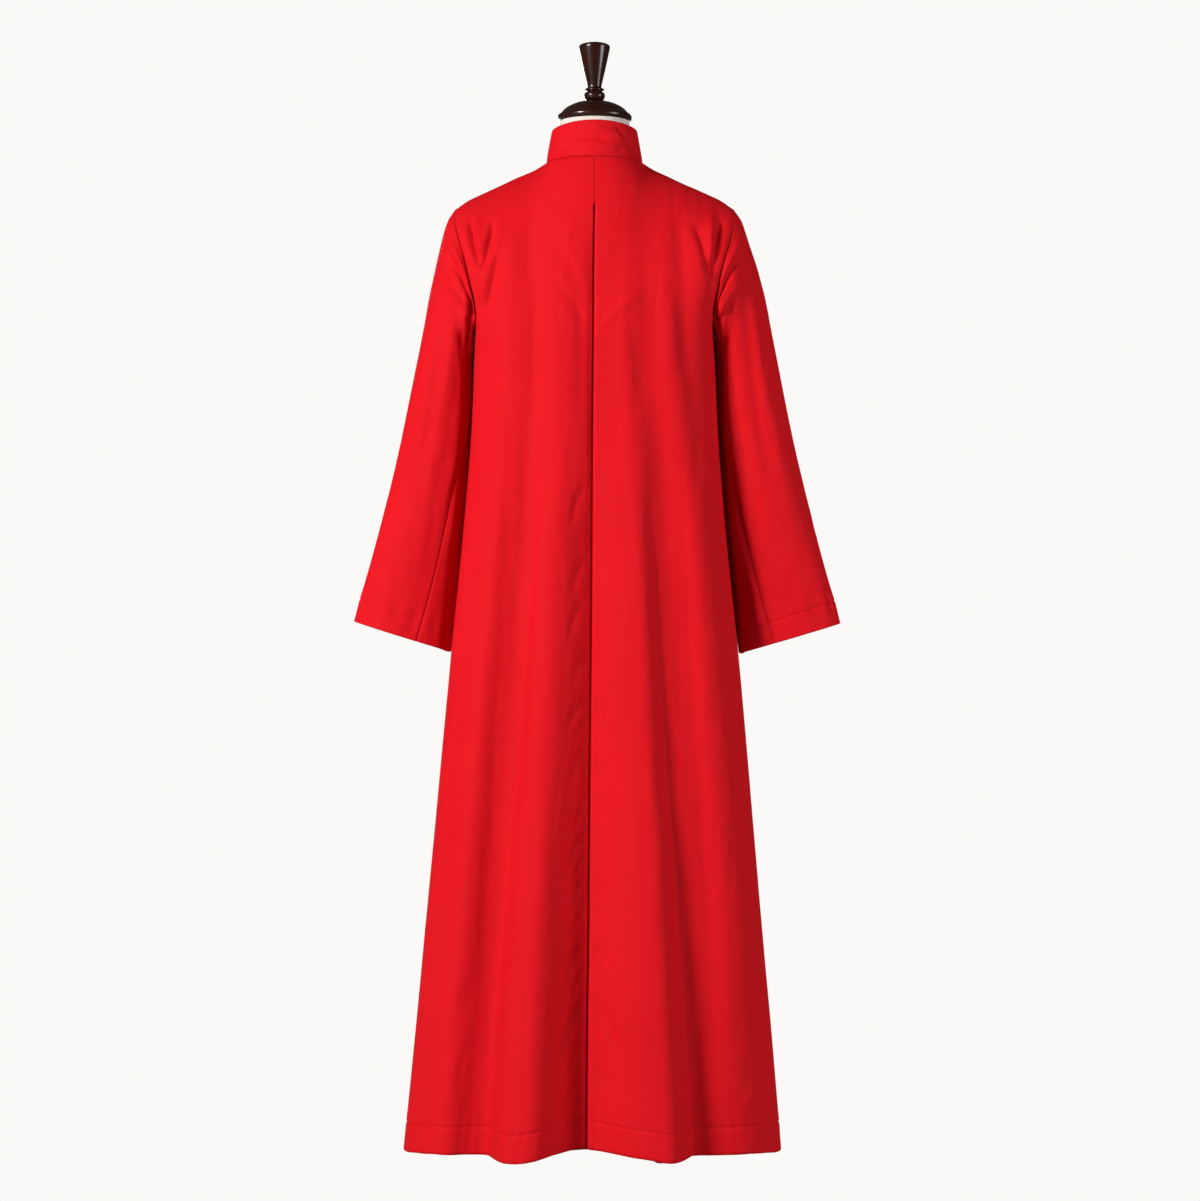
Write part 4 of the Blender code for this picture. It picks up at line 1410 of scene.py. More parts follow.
@dataclass
class Sleeves(Sewn):
    """The four sleeve halves, sewn at the hind and fore seams."""

    upper_columns: int = 84
    under_columns: int = 40
    cuff_steps: tuple[int, int] = (4, 12)  # rows from the cuff's stitched line to its edge
    arm_radius: float = 0.052  # turns an angle into a length round the sleeve
    right_scale: tuple[float, float] = (0.96, 1.05)  # the right sleeve's creases, round and down it
    # millimetres round the sleeve from its outer line backwards, and down it
    creases: tuple[Row, ...] = (
        (66, 60, 63, 420, -2.6, 9.0, -3.0, 0.1),
        (92, 150, 84, 520, 1.2, 11.0, 4.0, 0.0),
        (28, 240, 34, 560, -1.2, 12.0, 3.0, 0.0),
        (48, 56, 124, 6, -6.0, 6.0, -5.0, 0.2),
        (44, 38, 112, -8, 3.4, 7.0, -5.0, 0.0),
        (60, 78, 126, 30, 2.4, 7.0, -6.0, 0.0),
        (76, 92, 134, 30, -4.6, 7.0, -7.0, 0.1),
        (116, -30, 131, 96, -9.5, 8.0, 2.0, 0.0),
        (98, -20, 114, 100, 3.6, 8.0, 2.0, 0.0),
        (98, 126, 132, 66, -2.4, 8.0, -5.0, 0.1),
        (118, 30, 106, 160, -1.2, 8.0, 4.0, 0.1),
        (112, 130, 113, 500, 3.6, 12.0, 0.0, 0.0),
        (136, -40, 140, 460, -7.0, 13.0, 2.0, 0.0),
        (142, 330, 158, 800, -9.0, 17.0, 2.0, 0.0),
        (163, 16, 163, 92, 1.2, 26.0, 0.0, 0.0),
        (60, 10, 48, 80, -1.4, 8.0, -3.0, 0.0),
        (104, 250, 62, 322, -1.4, 8.0, 6.0, 0.1),
        (110, 300, 70, 356, -1.1, 7.0, -5.0, 0.1),
        (70, 545, 74, 612, -1.3, 6.0, 2.0, 0.0),
        (92, 560, 88, 614, -1.5, 4.5, -1.0, 0.0),
        (102, 556, 108, 612, 1.1, 4.0, 1.0, 0.0),
        (-60, 30, -52, 300, -2.0, 9.0, 3.0, 0.1),
        (-92, 14, -78, 130, -1.8, 8.0, -4.0, 0.0),
        (-96, 250, -60, 330, -1.5, 8.0, -6.0, 0.1),
        (-70, 420, -64, 590, -1.3, 10.0, 3.0, 0.0),
    )
    right_creases: tuple[Row, ...] = (
        (106, 360, 96, 680, 5.0, 13.0, 0.0, 0.0),
        (50, 70, 60, 330, 1.6, 7.0, 2.0, 0.0),
    )

    def build(self, side: Side, layer: Layer) -> bpy.types.Object:
        """One half of a sleeve.

        Args:
            side: the wearer's side.
            layer: which half.

        Returns:
            The piece.
        """
        cuff = 1 - CUT.cuff_depth / CUT.sleeve_length
        shares = shelf([(0.0, 0.06, 16), (0.06, 0.45, 72), (0.45, cuff - 0.009, 68), (cuff - 0.009, cuff, 6),
                        (cuff, cuff + 0.006, self.cuff_steps[0]), (cuff + 0.006, 1.0, self.cuff_steps[1])])
        thickness = np.where(shares >= cuff - 1e-9, HEM_CLOTH, CLOTH)
        hind, fore = Curve(CUT.hind_seam)(shares), Curve(CUT.fore_seam)(shares)
        depth = np.maximum(Curve(CUT.sleeves, 6)(shares), CUT.cuff_depth)
        clear = np.degrees(CUT.seam / 2 / depth)
        upper = layer is Layer.UPPER
        start, end = (fore - 360 + clear, hind - clear) if upper else (hind + clear, fore - clear)
        count = self.upper_columns if upper else self.under_columns
        part = np.linspace(0, 1, count)
        turn = start[:, None] + (end - start)[:, None] * part
        share = np.broadcast_to(shares[:, None], turn.shape)
        points = CUT.sleeve(side, turn, share)
        sheet = Sheet(f"sleeve_{layer.value}_{side.word}", points, thickness)
        around = np.radians(turn) * self.arm_radius
        down = share * CUT.sleeve_length
        fade = smooth(share / 0.02) * seam_fade(sheet, 0.012)
        rows = self.creases + (self.right_creases if side is Side.RIGHT else ())
        streaks = fine_strokes(83 + side.value, (-0.15, 0.17), (0.03, 0.60), 90)
        wide, long = self.right_scale if side is Side.RIGHT else (1.0, 1.0)
        lift = relief(creases(rows) + streaks, around * wide, down * long) * fade
        lift += 0.8 * GENTLE * slack(around * 2.2, down, 1.1 * side.value) * fade
        lift += self._seams(sheet, down, around)
        normals = grid_normals(points)
        outward = points - points.mean(axis=1, keepdims=True)
        if not upper:
            outward = points - CUT.sleeve(side, turn + 180.0, share)
        normals *= np.sign((normals * outward).sum())
        sheet.points = points + normals * lift[..., None]
        self.shown[side, layer] = (sheet.points, normals)
        if np.sign((grid_normals(sheet.points) * normals).sum()) < 0:
            sheet.points = sheet.points[:, ::-1]
        return self.finish(sheet, f"sleeve_{side.word}_{layer.value}")

    def _seams(self, sheet: Sheet, down: Array, around: Array) -> Array:
        """Dips at the two long seams and the armhole, and the cuff's stitched line with its puckers.

        Args:
            sheet: the half's grid.
            down: lengths down the sleeve.
            around: lengths round it.

        Returns:
            The lift at each point.
        """
        across, _ = sheet.arcs()
        near = np.minimum(across, across[:, -1:] - across)
        dips = SLEEVE_SEAM_SHARE * np.exp(-((near / SEAM_SPREAD) ** 2)) + np.exp(-((down / SEAM_SPREAD) ** 2))
        off = CUT.sleeve_length - CUT.cuff_depth - down
        line = -CUFF_LINE * np.exp(-((off / STITCH_LINE_WIDTH) ** 2))
        ripple = np.sin(around * 360.0 + 1.9 * np.sin(around * 70.0))
        swell = 0.5 + 0.5 * np.sin(around * 47.0 + 0.6)
        reach = np.where(off > 0, np.exp(-off / PUCKER_LENGTH), np.exp(off / 0.022))
        puckers = CUFF_PUCKER * swell * ripple * reach * smooth(near / 0.006)
        return line - SEAM_ROLL * np.minimum(dips, 1.0) + puckers


def seam_fade(sheet: Sheet, width: float) -> Array:
    """0 at a sheet's first and last column, and 1 inside.

    Args:
        sheet: the sheet.
        width: how far the fade reaches.

    Returns:
        The fade at each point.
    """
    across, _ = sheet.arcs()
    return smooth(across / width) * smooth((across[:, -1:] - across) / width)


@dataclass
class StandCollar(Sewn):
    """The stand collar, which meets at the centre front."""

    rise: float = 0.0500
    lean: float = 0.0083
    wall: float = 0.0024
    opening: float = 0.4  # degrees to each side of the centre front
    crown: float = 0.0042  # how far the top edge rises at the centre back
    crown_dip: float = 0.0022
    steps: int = 280  # points round it
    neck_radius: float = 0.074  # turns an angle into a length round the neck
    # each stitched row, and the row of the grid that it follows
    stitched_rows: dict[str, int] = field(
        default_factory=lambda: {"collar_base_stitches": 3, "collar_top_stitches": -4})
    # millimetres round from the centre back towards the wearer's left, and up
    creases: tuple[Row, ...] = (
        (30, 2, 78, 20, 2.0, 5.0, -3.0, 0.2),
        (40, 24, -30, 20, -3.4, 6.0, -5.0, 0.2),
        (20, 44, -64, 30, 2.6, 7.0, 3.0, 0.0),
        (-34, 46, -92, 2, -3.6, 5.0, 3.0, 0.2),
        (-30, 8, -72, 18, -2.0, 5.0, -2.0, 0.0),
        (60, 40, 96, 22, -0.8, 7.0, 3.0, 0.0),
        (150, 40, 182, 14, -0.9, 6.0, 3.0, 0.0),
        (-150, 38, -186, 16, -0.9, 6.0, -3.0, 0.0),
    )

    def build(self) -> bpy.types.Object:
        """The collar.

        Returns:
            The piece.
        """
        angle = np.radians(np.linspace(-90 + self.opening, 270 - self.opening, self.steps))
        rise = shelf([(0.0, 0.12, 4), (0.12, 0.88, 16), (0.88, 1.0, 5)])
        turn, up = np.meshgrid(angle, rise)
        back = np.sin(turn) > 0
        lean = self.lean * up
        depth = np.where(back, CUT.neck_back, CUT.neck_front) + CUT.seam / 2 - lean
        x = (CUT.neck_half + CUT.seam / 2 - lean) * np.cos(turn)
        base = CUT.neck_z + 0.0006 - np.where(back, 0.0, CUT.neck_drop * np.sin(turn) ** 2)
        crown = np.where(back, self.crown * np.sin(turn) ** 2, 0.0) - self.crown_dip * np.cos(turn) ** 2
        points = np.stack([x, depth * np.sin(turn), base + (self.rise + crown) * up], axis=-1)
        sheet = Sheet("stand_collar", points, np.full(len(rise), self.wall), bulge=0.7)
        round_neck = (pi / 2 - turn) * self.neck_radius
        height = up * self.rise
        fade = smooth(up / 0.10) * smooth((1 - up) / 0.10) * seam_fade(sheet, 0.02)
        lift = relief(creases(self.creases), round_neck, height) * fade
        lift += 0.0005 * slack(round_neck * 1.4, height * 2, 0.4) * fade
        for line in (0.0035, self.rise - 0.0050):
            lift -= 0.0004 * np.exp(-(((height - line) / 0.0013) ** 2))
        lift -= 0.0005 * (np.exp(-((height / 0.0018) ** 2)) + np.exp(-(((self.rise - height) / 0.0014) ** 2)))
        normals = grid_normals(points)
        normals *= np.sign((normals * points * (1, 1, 0)).sum())
        sheet.points = points + normals * lift[..., None]
        self.shown[sheet.name] = (sheet.points, normals)
        return self.finish(sheet, "collar")


@dataclass
class Buttons:
    """Small covered buttons down the lap, each on its short thread shank."""

    radius: float = 0.0075
    height: float = 0.0045
    count: int = 13
    top_z: float = 1.435
    low_z: float = 0.300
    # each step's inset and rise, as shares of the radius and height
    dome: tuple[Row, ...] = ((0.30, 0.16), (0.34, 0.08), (0.46, 0.02))
    back: tuple[Row, ...] = ((0.22, -0.14), (0.30, -0.05))
    rim: float = 0.86  # the rim's radius before its edge is rolled, as a share
    shank_size: float = 0.0016  # the thread shank's radius and length

    def _model(self) -> bpy.types.Mesh:
        """One button round the Z axis: a domed face, a rolled edge and a tucked-in back.

        Returns:
            Its mesh, with its lowest point at z = 0.
        """
        choose()
        bpy.ops.mesh.primitive_cylinder_add(vertices=24, radius=self.radius * self.rim,
                                            depth=self.height * 0.42, location=(0, 0, self.height * 0.45))
        button = bpy.context.active_object
        bpy.ops.object.transform_apply(location=True)
        for way, steps in ((1, self.dome), (-1, self.back)):
            select(button, "FACE", lambda face, way=way: face.normal.z * way > 0.9)
            for inset, lift in steps:
                bpy.ops.mesh.inset(thickness=self.radius * inset)
                bpy.ops.transform.translate(value=(0, 0, self.height * lift))
            bpy.ops.object.mode_set(mode="OBJECT")
        near_rim = self.radius * (self.rim - 0.02)
        select(button, "EDGE", lambda edge: level(edge) and edge.verts[0].co.xy.length > near_rim)
        bpy.ops.mesh.bevel(offset=self.height * 0.12, segments=2, profile=0.6)
        bpy.ops.object.mode_set(mode="OBJECT")
        apply_modifier(button, "SUBSURF", levels=1, render_levels=1)
        mesh = button.data
        bpy.data.objects.remove(button)
        low = min(vertex.co.z for vertex in mesh.vertices)
        mesh.transform(Matrix.Translation((0, 0, -low)))
        lay_grain(mesh, lambda point: (point.x, point.y))
        mesh.shade_smooth()
        return mesh

    def _shank(self) -> bpy.types.Mesh:
        """The wound thread under a button, round the Z axis.

        Returns:
            Its mesh.
        """
        choose()
        bpy.ops.mesh.primitive_cylinder_add(vertices=12, radius=self.shank_size, depth=self.shank_size,
                                            location=(0, 0, -0.0002))
        shank = bpy.context.active_object
        bpy.ops.object.transform_apply(location=True)
        select(shank, "EDGE", level)
        bpy.ops.mesh.bevel(offset=0.0003, segments=2)
        bpy.ops.object.mode_set(mode="OBJECT")
        mesh = shank.data
        bpy.data.objects.remove(shank)
        lay_grain(mesh, lambda point: (point.x, point.z))
        mesh.shade_smooth()
        return mesh

    def build(self, cloth: tuple[Array, Array]) -> None:
        """All the buttons, seated on the lap's final face.

        Args:
            cloth: the left front's shown points and normals.
        """
        points, normals = cloth
        button, shank = self._model(), self._shank()
        flat = points.reshape(-1, 3)
        out = normals.reshape(-1, 3)
        for number, z in enumerate(np.linspace(self.top_z, self.low_z, self.count), 1):
            near = np.argmin(flat[:, 0] ** 2 + (flat[:, 2] - z) ** 2)
            seat, way = Vector(flat[near]), Vector(out[near])
            seat.x = 0.0
            turn = way.to_track_quat("Z", "Y").to_matrix().to_4x4()
            joined = bmesh.new()
            for part, lift in ((button, 0.0006), (shank, 0.0005)):
                copy = part.copy()
                copy.transform(Matrix.Translation(seat + way * lift) @ turn)
                joined.from_mesh(copy)
                bpy.data.meshes.remove(copy)
            mesh = bpy.data.meshes.new(f"covered_button_{number:02d}")
            joined.to_mesh(mesh)
            joined.free()
            mesh.shade_smooth()
            piece = place(bpy.data.objects.new(mesh.name, mesh), SCARLET)
            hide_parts(f"button_{number:02d}")


def choose(piece: bpy.types.Object | None = None) -> None:
    """Goes to object mode with one piece selected, or none.

    Args:
        piece: the piece, or None.
    """
    if bpy.context.mode != "OBJECT":
        bpy.ops.object.mode_set(mode="OBJECT")
    bpy.ops.object.select_all(action="DESELECT")
    if piece is not None:
        bpy.context.view_layer.objects.active = piece
        piece.select_set(True)


def level(edge: Any) -> bool:
    """Whether both ends of an edge lie at one height.

    Args:
        edge: the edge.

    Returns:
        True where they do.
    """
    low, high = (vertex.co for vertex in edge.verts)
    return abs(low.z - high.z) < 1e-6


def select(piece: bpy.types.Object, kind: str, wanted: Callable[[Any], bool]) -> None:
    """Enters edit mode with some faces or edges selected.

    Args:
        piece: the piece.
        kind: FACE or EDGE.
        wanted: says whether a face or edge is selected.
    """
    choose(piece)
    bpy.ops.object.mode_set(mode="EDIT")
    bpy.ops.mesh.select_all(action="DESELECT")
    bpy.ops.mesh.select_mode(type=kind)
    mesh = bmesh.from_edit_mesh(piece.data)
    for element in mesh.faces if kind == "FACE" else mesh.edges:
        element.select_set(wanted(element))
    if kind == "FACE":
        mesh.select_flush_mode()
    bmesh.update_edit_mesh(piece.data)


def apply_modifier(piece: bpy.types.Object, kind: str, **settings: Any) -> None:
    """Adds a modifier and applies it.

    Args:
        piece: the piece.
        kind: the modifier's type.
        **settings: its settings.
    """
    modifier = piece.modifiers.new(kind.title(), kind)
    for name, value in settings.items():
        setattr(modifier, name, value)
    choose(piece)
    bpy.ops.object.modifier_apply(modifier=modifier.name)


def lay_grain(mesh: bpy.types.Mesh, flat: Callable[[Vector], tuple[float, float]]) -> None:
    """Gives a mesh the UV map that its weave follows.

    Args:
        mesh: the mesh.
        flat: turns a point into its place on the flat cloth, in metres.
    """
    while mesh.uv_layers:
        mesh.uv_layers.remove(mesh.uv_layers[0])
    layer = mesh.uv_layers.new(name="grain")
    for loop in mesh.loops:
        layer.data[loop.index].uv = flat(mesh.vertices[loop.vertex_index].co)


@dataclass
class Stitching:
    """Rows of small stitches that lie on the cloth."""

    length: float = 0.0019
    width: float = 0.00055
    height: float = 0.00035
    sides: int = 6
    unevenness: float = 0.12  # how far a stitch lies out of its place, as a share of the pitch
    hem_pitch: float = 0.0062
    cuff_pitch: float = 0.0056
    collar_pitch: float = 0.0058
    # each ring's place along the stitch, rise and width, as shares of the sizes above
    loaf: tuple[Row, ...] = ((-0.5, -0.6, 0.55), (-0.25, 0.0, 1.0), (0.25, 0.0, 1.0), (0.5, -0.6, 0.55))

    def row(self, name: str, path: Array, normals: Array, pitch: float) -> bpy.types.Object:
        """One row of stitches as one piece.

        Args:
            name: the piece's name.
            path: points along the row.
            normals: the cloth's normals there.
            pitch: metres from one stitch to the next.

        Returns:
            The piece.
        """
        along = np.append(0.0, np.cumsum(np.linalg.norm(np.diff(path, axis=0), axis=1)))
        places = np.arange(pitch, along[-1] - pitch / 2, pitch)
        places = places + self.unevenness * pitch * np.sin(np.arange(len(places)) * 2.4)
        points: list[Array] = []
        faces: list[tuple[int, ...]] = []
        for at in places:
            centre = self._at(along, path, at)
            ahead = self._at(along, path, at + self.length / 2) - self._at(along, path, at - self.length / 2)
            ahead = ahead / np.linalg.norm(ahead)
            out = self._at(along, normals, at)
            out = out / np.linalg.norm(out)
            self._stitch(points, faces, centre, ahead, out)
        mesh = bpy.data.meshes.new(name)
        mesh.from_pydata(np.array(points).tolist(), [], faces)
        lay_grain(mesh, lambda point: (point.x + point.y, point.z))
        mesh.shade_smooth()
        piece = place(bpy.data.objects.new(name, mesh), THREAD)
        return piece

    @staticmethod
    def _at(along: Array, values: Array, at: float) -> Array:
        """Values read at a length along a path."""
        return np.array([np.interp(at, along, values[:, axis]) for axis in range(3)])

    def _stitch(self, points: list[Array], faces: list[tuple[int, ...]], centre: Array, ahead: Array,
                out: Array) -> None:
        """Adds one stitch: a low loaf, sunk at both ends.

        Args:
            points: the row's points so far.
            faces: the row's faces so far.
            centre: where the stitch lies on the cloth.
            ahead: its direction.
            out: the cloth's normal.
        """
        aside = np.cross(out, ahead)
        first = len(points)
        for part, sink, narrow in self.loaf:
            middle = centre + ahead * self.length * part + out * self.height * sink
            for turn in range(self.sides):
                angle = 2 * pi / self.sides * turn
                points.append(middle + aside * self.width / 2 * narrow * np.cos(angle)
                              + out * self.height * narrow * np.sin(angle))
        last = len(points) - self.sides
        for a in range(first, last, self.sides):
            for turn in range(self.sides):
                b = (turn + 1) % self.sides
                faces.append((a + turn, a + b, a + self.sides + b, a + self.sides + turn))
        faces.append(tuple(range(first + self.sides - 1, first - 1, -1)))
        faces.append(tuple(range(last, last + self.sides)))


# --- the dress form -----------------------------------------------------------------------


@dataclass
class DressForm:
    """The limbless form: its linen cover with sewn seams, and the finishes of its stand."""

    neck_radius: float = 0.0525
    neck_top: float = 1.5505
    steps: int = 132
    rows_between: int = 7
    seam_angles: Row = (90.0, 270.0, 0.0, 180.0, 52.0, 128.0, 232.0, 308.0)
    # z, half width, back, front and power of each ring
    low: tuple[Row, ...] = (
        (0.790, 0.1440, 0.092, -0.088, 2.2), (0.797, 0.1560, 0.104, -0.100, 2.2),
        (0.880, 0.1620, 0.110, -0.108, 2.2), (1.060, 0.1330, 0.090, -0.092, 2.2),
        (1.232, 0.1560, 0.104, -0.112, 2.2), (1.340, 0.1700, 0.101, -0.106, 2.1),
    )
    ridge: Row = (0.187, 0.178, 0.160, 0.135, 0.110, 0.090, 0.080, 0.076)
    cap_foot: float = 1.5513
    finial_foot: float = 1.5821
    # radius and height of each ring of the turned pieces
    cap: tuple[Row, ...] = (
        (0.0515, 0.0000), (0.0534, 0.0004), (0.0549, 0.0018), (0.0557, 0.0038), (0.0559, 0.0058),
        (0.0555, 0.0078), (0.0543, 0.0094), (0.0526, 0.0106), (0.0508, 0.0117), (0.0494, 0.0131),
        (0.0482, 0.0148), (0.0462, 0.0170), (0.0430, 0.0196), (0.0390, 0.0221), (0.0340, 0.0246),
        (0.0285, 0.0267), (0.0225, 0.0284), (0.0160, 0.0295), (0.0090, 0.0301), (0.0030, 0.0303),
    )
    finial: tuple[Row, ...] = (
        (0.0098, 0.0000), (0.0122, 0.0008), (0.0141, 0.0026), (0.0153, 0.0050), (0.0158, 0.0076),
        (0.0155, 0.0100), (0.0143, 0.0120), (0.0124, 0.0131), (0.0113, 0.0136), (0.0112, 0.0141),
        (0.0120, 0.0145), (0.0134, 0.0149), (0.0142, 0.0157), (0.0144, 0.0167), (0.0141, 0.0177),
        (0.0131, 0.0184), (0.0115, 0.0189), (0.0106, 0.0196), (0.0104, 0.0208), (0.0108, 0.0235),
        (0.0118, 0.0280), (0.0134, 0.0350), (0.0155, 0.0440), (0.0178, 0.0540), (0.0201, 0.0645),
        (0.0220, 0.0735), (0.0230, 0.0785), (0.0233, 0.0806), (0.0231, 0.0820), (0.0223, 0.0832),
        (0.0205, 0.0843), (0.0170, 0.0855), (0.0125, 0.0866), (0.0070, 0.0874), (0.0020, 0.0877),
    )

    def _rings(self) -> list[Row]:
        """The form's rings from its underside to the top of its neck.

        Returns:
            z, half width, back, front and power of each.
        """
        rings = list(self.low)
        rings.append((CUT.shoulder_z(self.ridge[0]) - 0.030, 0.184, 0.084, -0.090, 2.0))
        for x in self.ridge:
            share = (self.ridge[0] - x) / (self.ridge[0] - self.ridge[-1])
            z = float(CUT.shoulder_z(x)) - CUT.wall - 0.0008
            rings.append((z, x, 0.060 - 0.008 * share, -0.060 + 0.006 * share, 1.42))
        rings.append((CUT.neck_z + 0.0015, 0.0620, 0.0545, -0.0545, 1.8))
        neck = (self.neck_radius, self.neck_radius, -self.neck_radius, 2.0)
        rings.append((CUT.neck_z + 0.025, *neck))
        rings.append((self.neck_top, *neck))
        return rings

    def cover(self) -> bpy.types.Object:
        """The linen cover, whole and closed, with a fine groove at each seam.

        Returns:
            The piece.
        """
        rings = self._rings()
        numbers = np.arange(len(rings), dtype=float)
        at = np.linspace(0, len(rings) - 1, (len(rings) - 1) * self.rows_between + 1)
        table = [tuple([number, *ring]) for number, ring in zip(numbers, rings)]
        z, half, back, front, power = (Curve(table, column)(at)[:, None] for column in range(1, 6))
        angle = np.linspace(0, 2 * pi, self.steps, endpoint=False)[None, :]
        cosine, sine = np.cos(angle), np.sin(angle)
        reach = np.where(sine > 0, back, -front)
        x = half * np.sign(cosine) * np.abs(cosine) ** (2 / power)
        y = reach * np.sign(sine) * np.abs(sine) ** (2 / power)
        groove = np.zeros_like(x)
        for seam in self.seam_angles:
            off = np.abs((np.degrees(angle) - seam + 180) % 360 - 180)
            groove += np.exp(-((np.radians(off) * np.hypot(x, y) / 0.0014) ** 2))
        shrink = 1 - 0.0006 * np.minimum(groove, 1.0) / np.maximum(np.hypot(x, y), 0.02) - 0.0002
        points = np.stack([x * shrink, y * shrink, np.broadcast_to(z, x.shape)], axis=-1)
        rows, columns = points.shape[:2]
        index = np.arange(rows * columns).reshape(rows, columns)
        after = np.roll(index, -1, axis=1)
        quads = np.stack([index[:-1], after[:-1], after[1:], index[1:]], axis=-1).reshape(-1, 4)
        faces = quads.tolist() + [index[0, ::-1].tolist(), index[-1].tolist()]
        mesh = bpy.data.meshes.new("form_cover")
        mesh.from_pydata(points.reshape(-1, 3).tolist(), [], faces)
        lay_grain(mesh, lambda point: (0.09 * float(np.arctan2(point.y, point.x)), point.z))
        mesh.shade_smooth()
        mesh.set_sharp_from_angle(angle=radians(50))
        piece = place(bpy.data.objects.new("form_cover", mesh), LINEN)
        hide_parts("form_torso")
        return piece

    def turned(self, node: str, foot: float, profile: tuple[Row, ...]) -> bpy.types.Object:
        """A turned piece of the neck's top, drawn up ring by ring from its foot.

        Args:
            node: the model's piece that it stands for.
            foot: height of its underside.
            profile: radius and height above the foot of each ring.

        Returns:
            The piece.
        """
        choose()
        radius, height = profile[0]
        bpy.ops.mesh.primitive_circle_add(vertices=96, radius=radius, fill_type="NGON",
                                          location=(0, 0, foot + height))
        piece = bpy.context.active_object
        piece.name = piece.data.name = f"turned_{node}"
        bpy.ops.object.transform_apply(location=True)
        select(piece, "FACE", lambda face: True)
        for wider, higher in profile[1:]:
            bpy.ops.mesh.extrude_region_move(TRANSFORM_OT_translate={"value": (0, 0, higher - height)})
            ratio = wider / radius
            bpy.ops.transform.resize(value=(ratio, ratio, 1), center_override=(0, 0, foot + higher))
            radius, height = wider, higher
        bpy.ops.mesh.select_all(action="SELECT")
        bpy.ops.mesh.normals_make_consistent(inside=False)
        bpy.ops.object.mode_set(mode="OBJECT")
        apply_modifier(piece, "BEVEL", width=0.0002, segments=2, limit_method="ANGLE",
                       angle_limit=radians(50))
        bpy.ops.object.shade_smooth_by_angle(angle=radians(42))
        bpy.context.scene.collection.objects.unlink(piece)
        place(piece, WOOD)
        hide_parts(node)
        return piece

    def finish_stand(self) -> None:
        """Turns the cap and the finial, and gives the pole and foot their finish."""
        self.turned("neck_cap", self.cap_foot, self.cap)
        self.turned("finial", self.finial_foot, self.finial)
        for node, finish in (("pole", IRON), ("base", IRON)):
            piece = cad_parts[node]
            piece.data.materials.clear()
            piece.data.materials.append(finish.make())
            log.info("%s: finished in %s", node, finish.name)


# --- studio -------------------------------------------------------------------------------


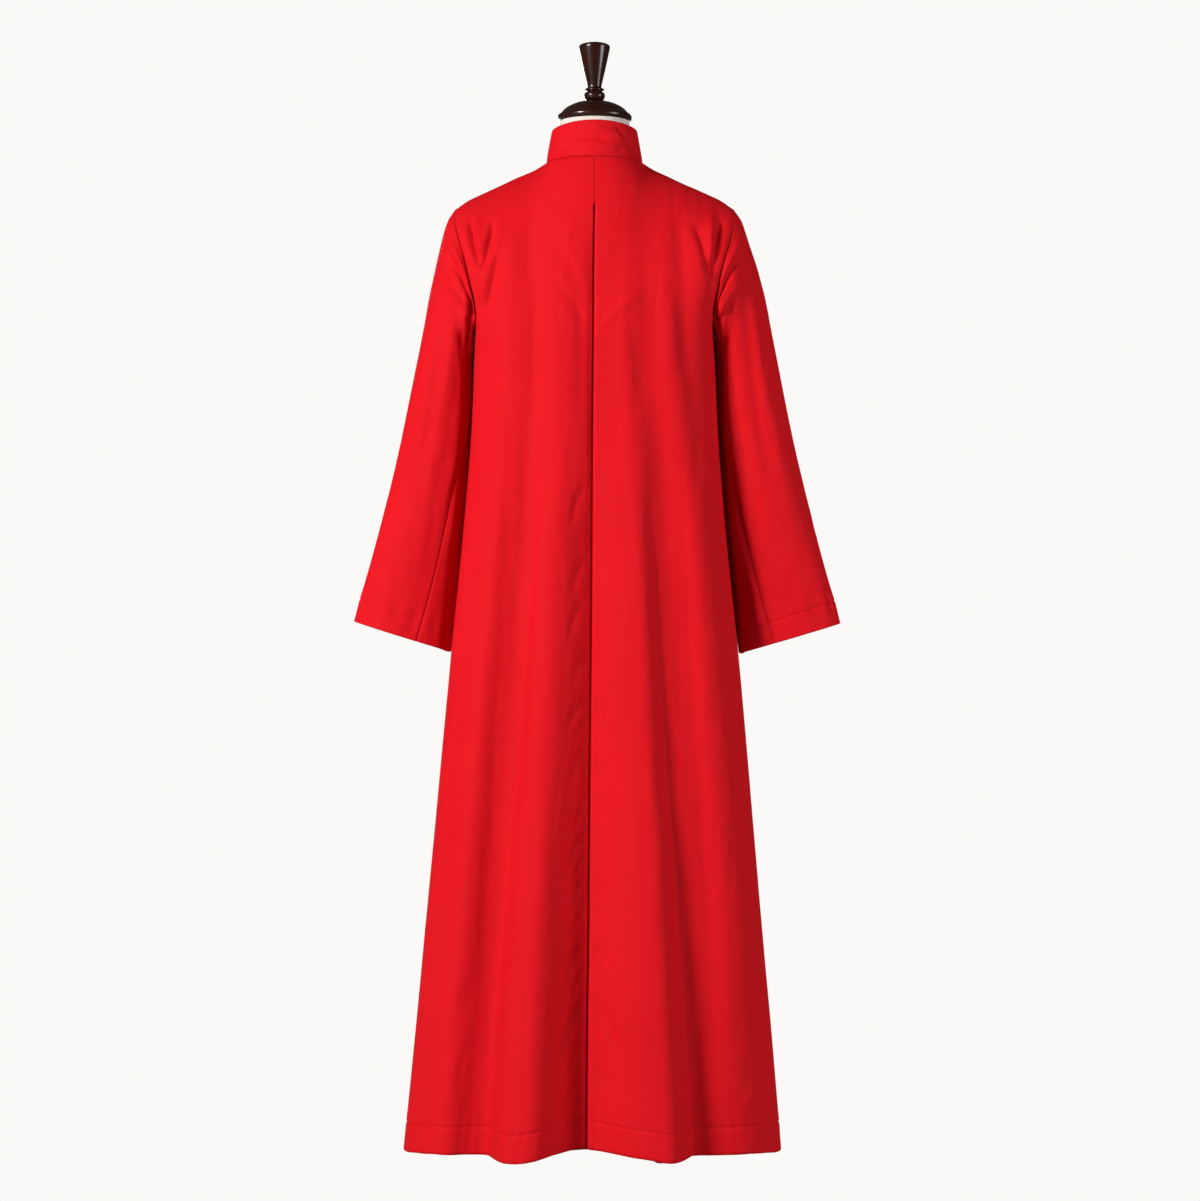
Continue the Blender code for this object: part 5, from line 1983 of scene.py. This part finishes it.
@dataclass
class Studio:
    """A pale floor that runs into a pale surround, soft lights and the camera."""

    distance: float = 4.0
    height: float = 0.833
    aside: float = -0.00825
    lens: float = 79.93
    pale: Row = (0.956, 0.947, 0.930)
    ambient: float = 0.07
    bounce: float = 0.40  # how much light the floor throws back up
    # place, what it is aimed at, width and power of each soft light
    lamps: tuple[tuple[str, Row, Row, float, float], ...] = (
        ("key_light", (3.1, 3.2, 2.3), (0.0, 0.0, 0.85), 1.2, 296.0),
        ("fill_light", (-4.0, 2.1, 1.4), (0.0, 0.0, 0.7), 1.8, 108.0),
        ("front_light", (0.6, -4.2, 1.3), (0.0, 0.0, 0.8), 2.4, 150.0),
    )

    def floor(self) -> None:
        """The floor: evenly pale to the camera, with a grey paint that throws some light back up."""
        choose()
        bpy.ops.mesh.primitive_circle_add(vertices=96, radius=9.0, fill_type="NGON", location=(0, 0, -0.0005))
        floor = bpy.context.active_object
        bpy.ops.object.transform_apply(location=True)
        floor.name = "studio_floor"
        material = bpy.data.materials.new("studio_floor")
        material.use_nodes = True
        tree = material.node_tree
        tree.nodes.clear()
        nodes = NodeBook(tree)
        glow = nodes.add("ShaderNodeEmission", {}, {"Color": (*self.pale, 1), "Strength": 1.0}, "Emission")
        paint = nodes.add("ShaderNodeBsdfDiffuse", {}, {"Color": (self.bounce,) * 3 + (1,)}, "BSDF")
        seen = nodes.add("ShaderNodeLightPath", {}, {}, "Is Camera Ray")
        both = nodes.add("ShaderNodeMixShader", {}, {0: seen, 1: paint, 2: glow}, "Shader")
        output = tree.nodes.new("ShaderNodeOutputMaterial")
        tree.links.new(both.socket, output.inputs["Surface"])
        floor.data.materials.append(material)

    def surround(self) -> None:
        """The pale surround, which shines less on the garment than it shows."""
        world = bpy.data.worlds.new("surround")
        bpy.context.scene.world = world
        world.use_nodes = True
        nodes = NodeBook(world.node_tree)
        seen = nodes.add("ShaderNodeLightPath", {}, {}, "Is Camera Ray")
        background = world.node_tree.nodes["Background"]
        background.inputs["Color"].default_value = (*self.pale, 1)
        strength = seen * (1 - self.ambient) + self.ambient
        world.node_tree.links.new(strength.socket, background.inputs["Strength"])

    def lights(self) -> None:
        """The soft lights."""
        for name, spot, aim, width, power in self.lamps:
            lamp = bpy.data.lights.new(name, "AREA")
            lamp.shape = "DISK"
            lamp.size = width
            lamp.energy = power
            made = bpy.data.objects.new(name, lamp)
            bpy.context.scene.collection.objects.link(made)
            made.location = spot
            made.rotation_mode = "QUATERNION"
            made.rotation_quaternion = (Vector(aim) - Vector(spot)).to_track_quat("-Z", "Y")

    def camera(self) -> None:
        """The camera, level and square to the garment's back."""
        data = bpy.data.cameras.new("camera")
        data.lens = self.lens
        camera = bpy.data.objects.new("camera", data)
        bpy.context.scene.collection.objects.link(camera)
        camera.location = (self.aside, self.distance, self.height)
        camera.rotation_mode = "QUATERNION"
        camera.rotation_quaternion = Vector((0, -1, 0)).to_track_quat("-Z", "Y")
        bpy.context.scene.camera = camera

    def build(self) -> None:
        """The whole studio."""
        bpy.context.scene.view_settings.view_transform = "Standard"
        self.floor()
        self.surround()
        self.lights()
        self.camera()


# --- assembly -----------------------------------------------------------------------------


def sew(backs: BackPanels, fronts: FrontPanels, sleeves: Sleeves, collar: StandCollar) -> None:
    """The stitched rows at the hem, cuffs and collar.

    Args:
        backs: the built back panels.
        fronts: the built front panels.
        sleeves: the built sleeves.
        collar: the built collar.
    """
    stitching = Stitching()
    shares, _ = body_rows()
    row = int(np.argmin(np.abs(shares * (CUT.underarm_z - HEM_Z) - CUT.hem_depth)))
    for word, panels in (("back", backs), ("front", fronts)):
        for side in Side:
            points, normals = panels.shown[side]
            stitching.row(f"hem_stitches_{word}_{side.word}", points[row], normals[row],
                          stitching.hem_pitch)
    row = -1 - sum(sleeves.cuff_steps)
    for (side, layer), (points, normals) in sleeves.shown.items():
        stitching.row(f"cuff_stitches_{layer.value}_{side.word}", points[row], normals[row],
                      stitching.cuff_pitch)
    for points, normals in collar.shown.values():
        for name, line in collar.stitched_rows.items():
            stitching.row(name, points[line], normals[line], stitching.collar_pitch)


def main() -> None:
    """Builds the studio, the dress form and the cassock, and reports each piece."""
    logging.basicConfig(level=logging.INFO, format="%(name)s %(message)s")
    Studio().build()
    form = DressForm()
    form.cover()
    form.finish_stand()
    backs, fronts, sleeves, collar = BackPanels(), FrontPanels(), Sleeves(), StandCollar()
    for side in Side:
        backs.build(side)
        fronts.build(side)
        for layer in Layer:
            sleeves.build(side, layer)
    backs.underlay()
    collar.build()
    Buttons().build(fronts.shown[Side.LEFT])
    sew(backs, fronts, sleeves, collar)


if __name__ == "__main__":
    main()
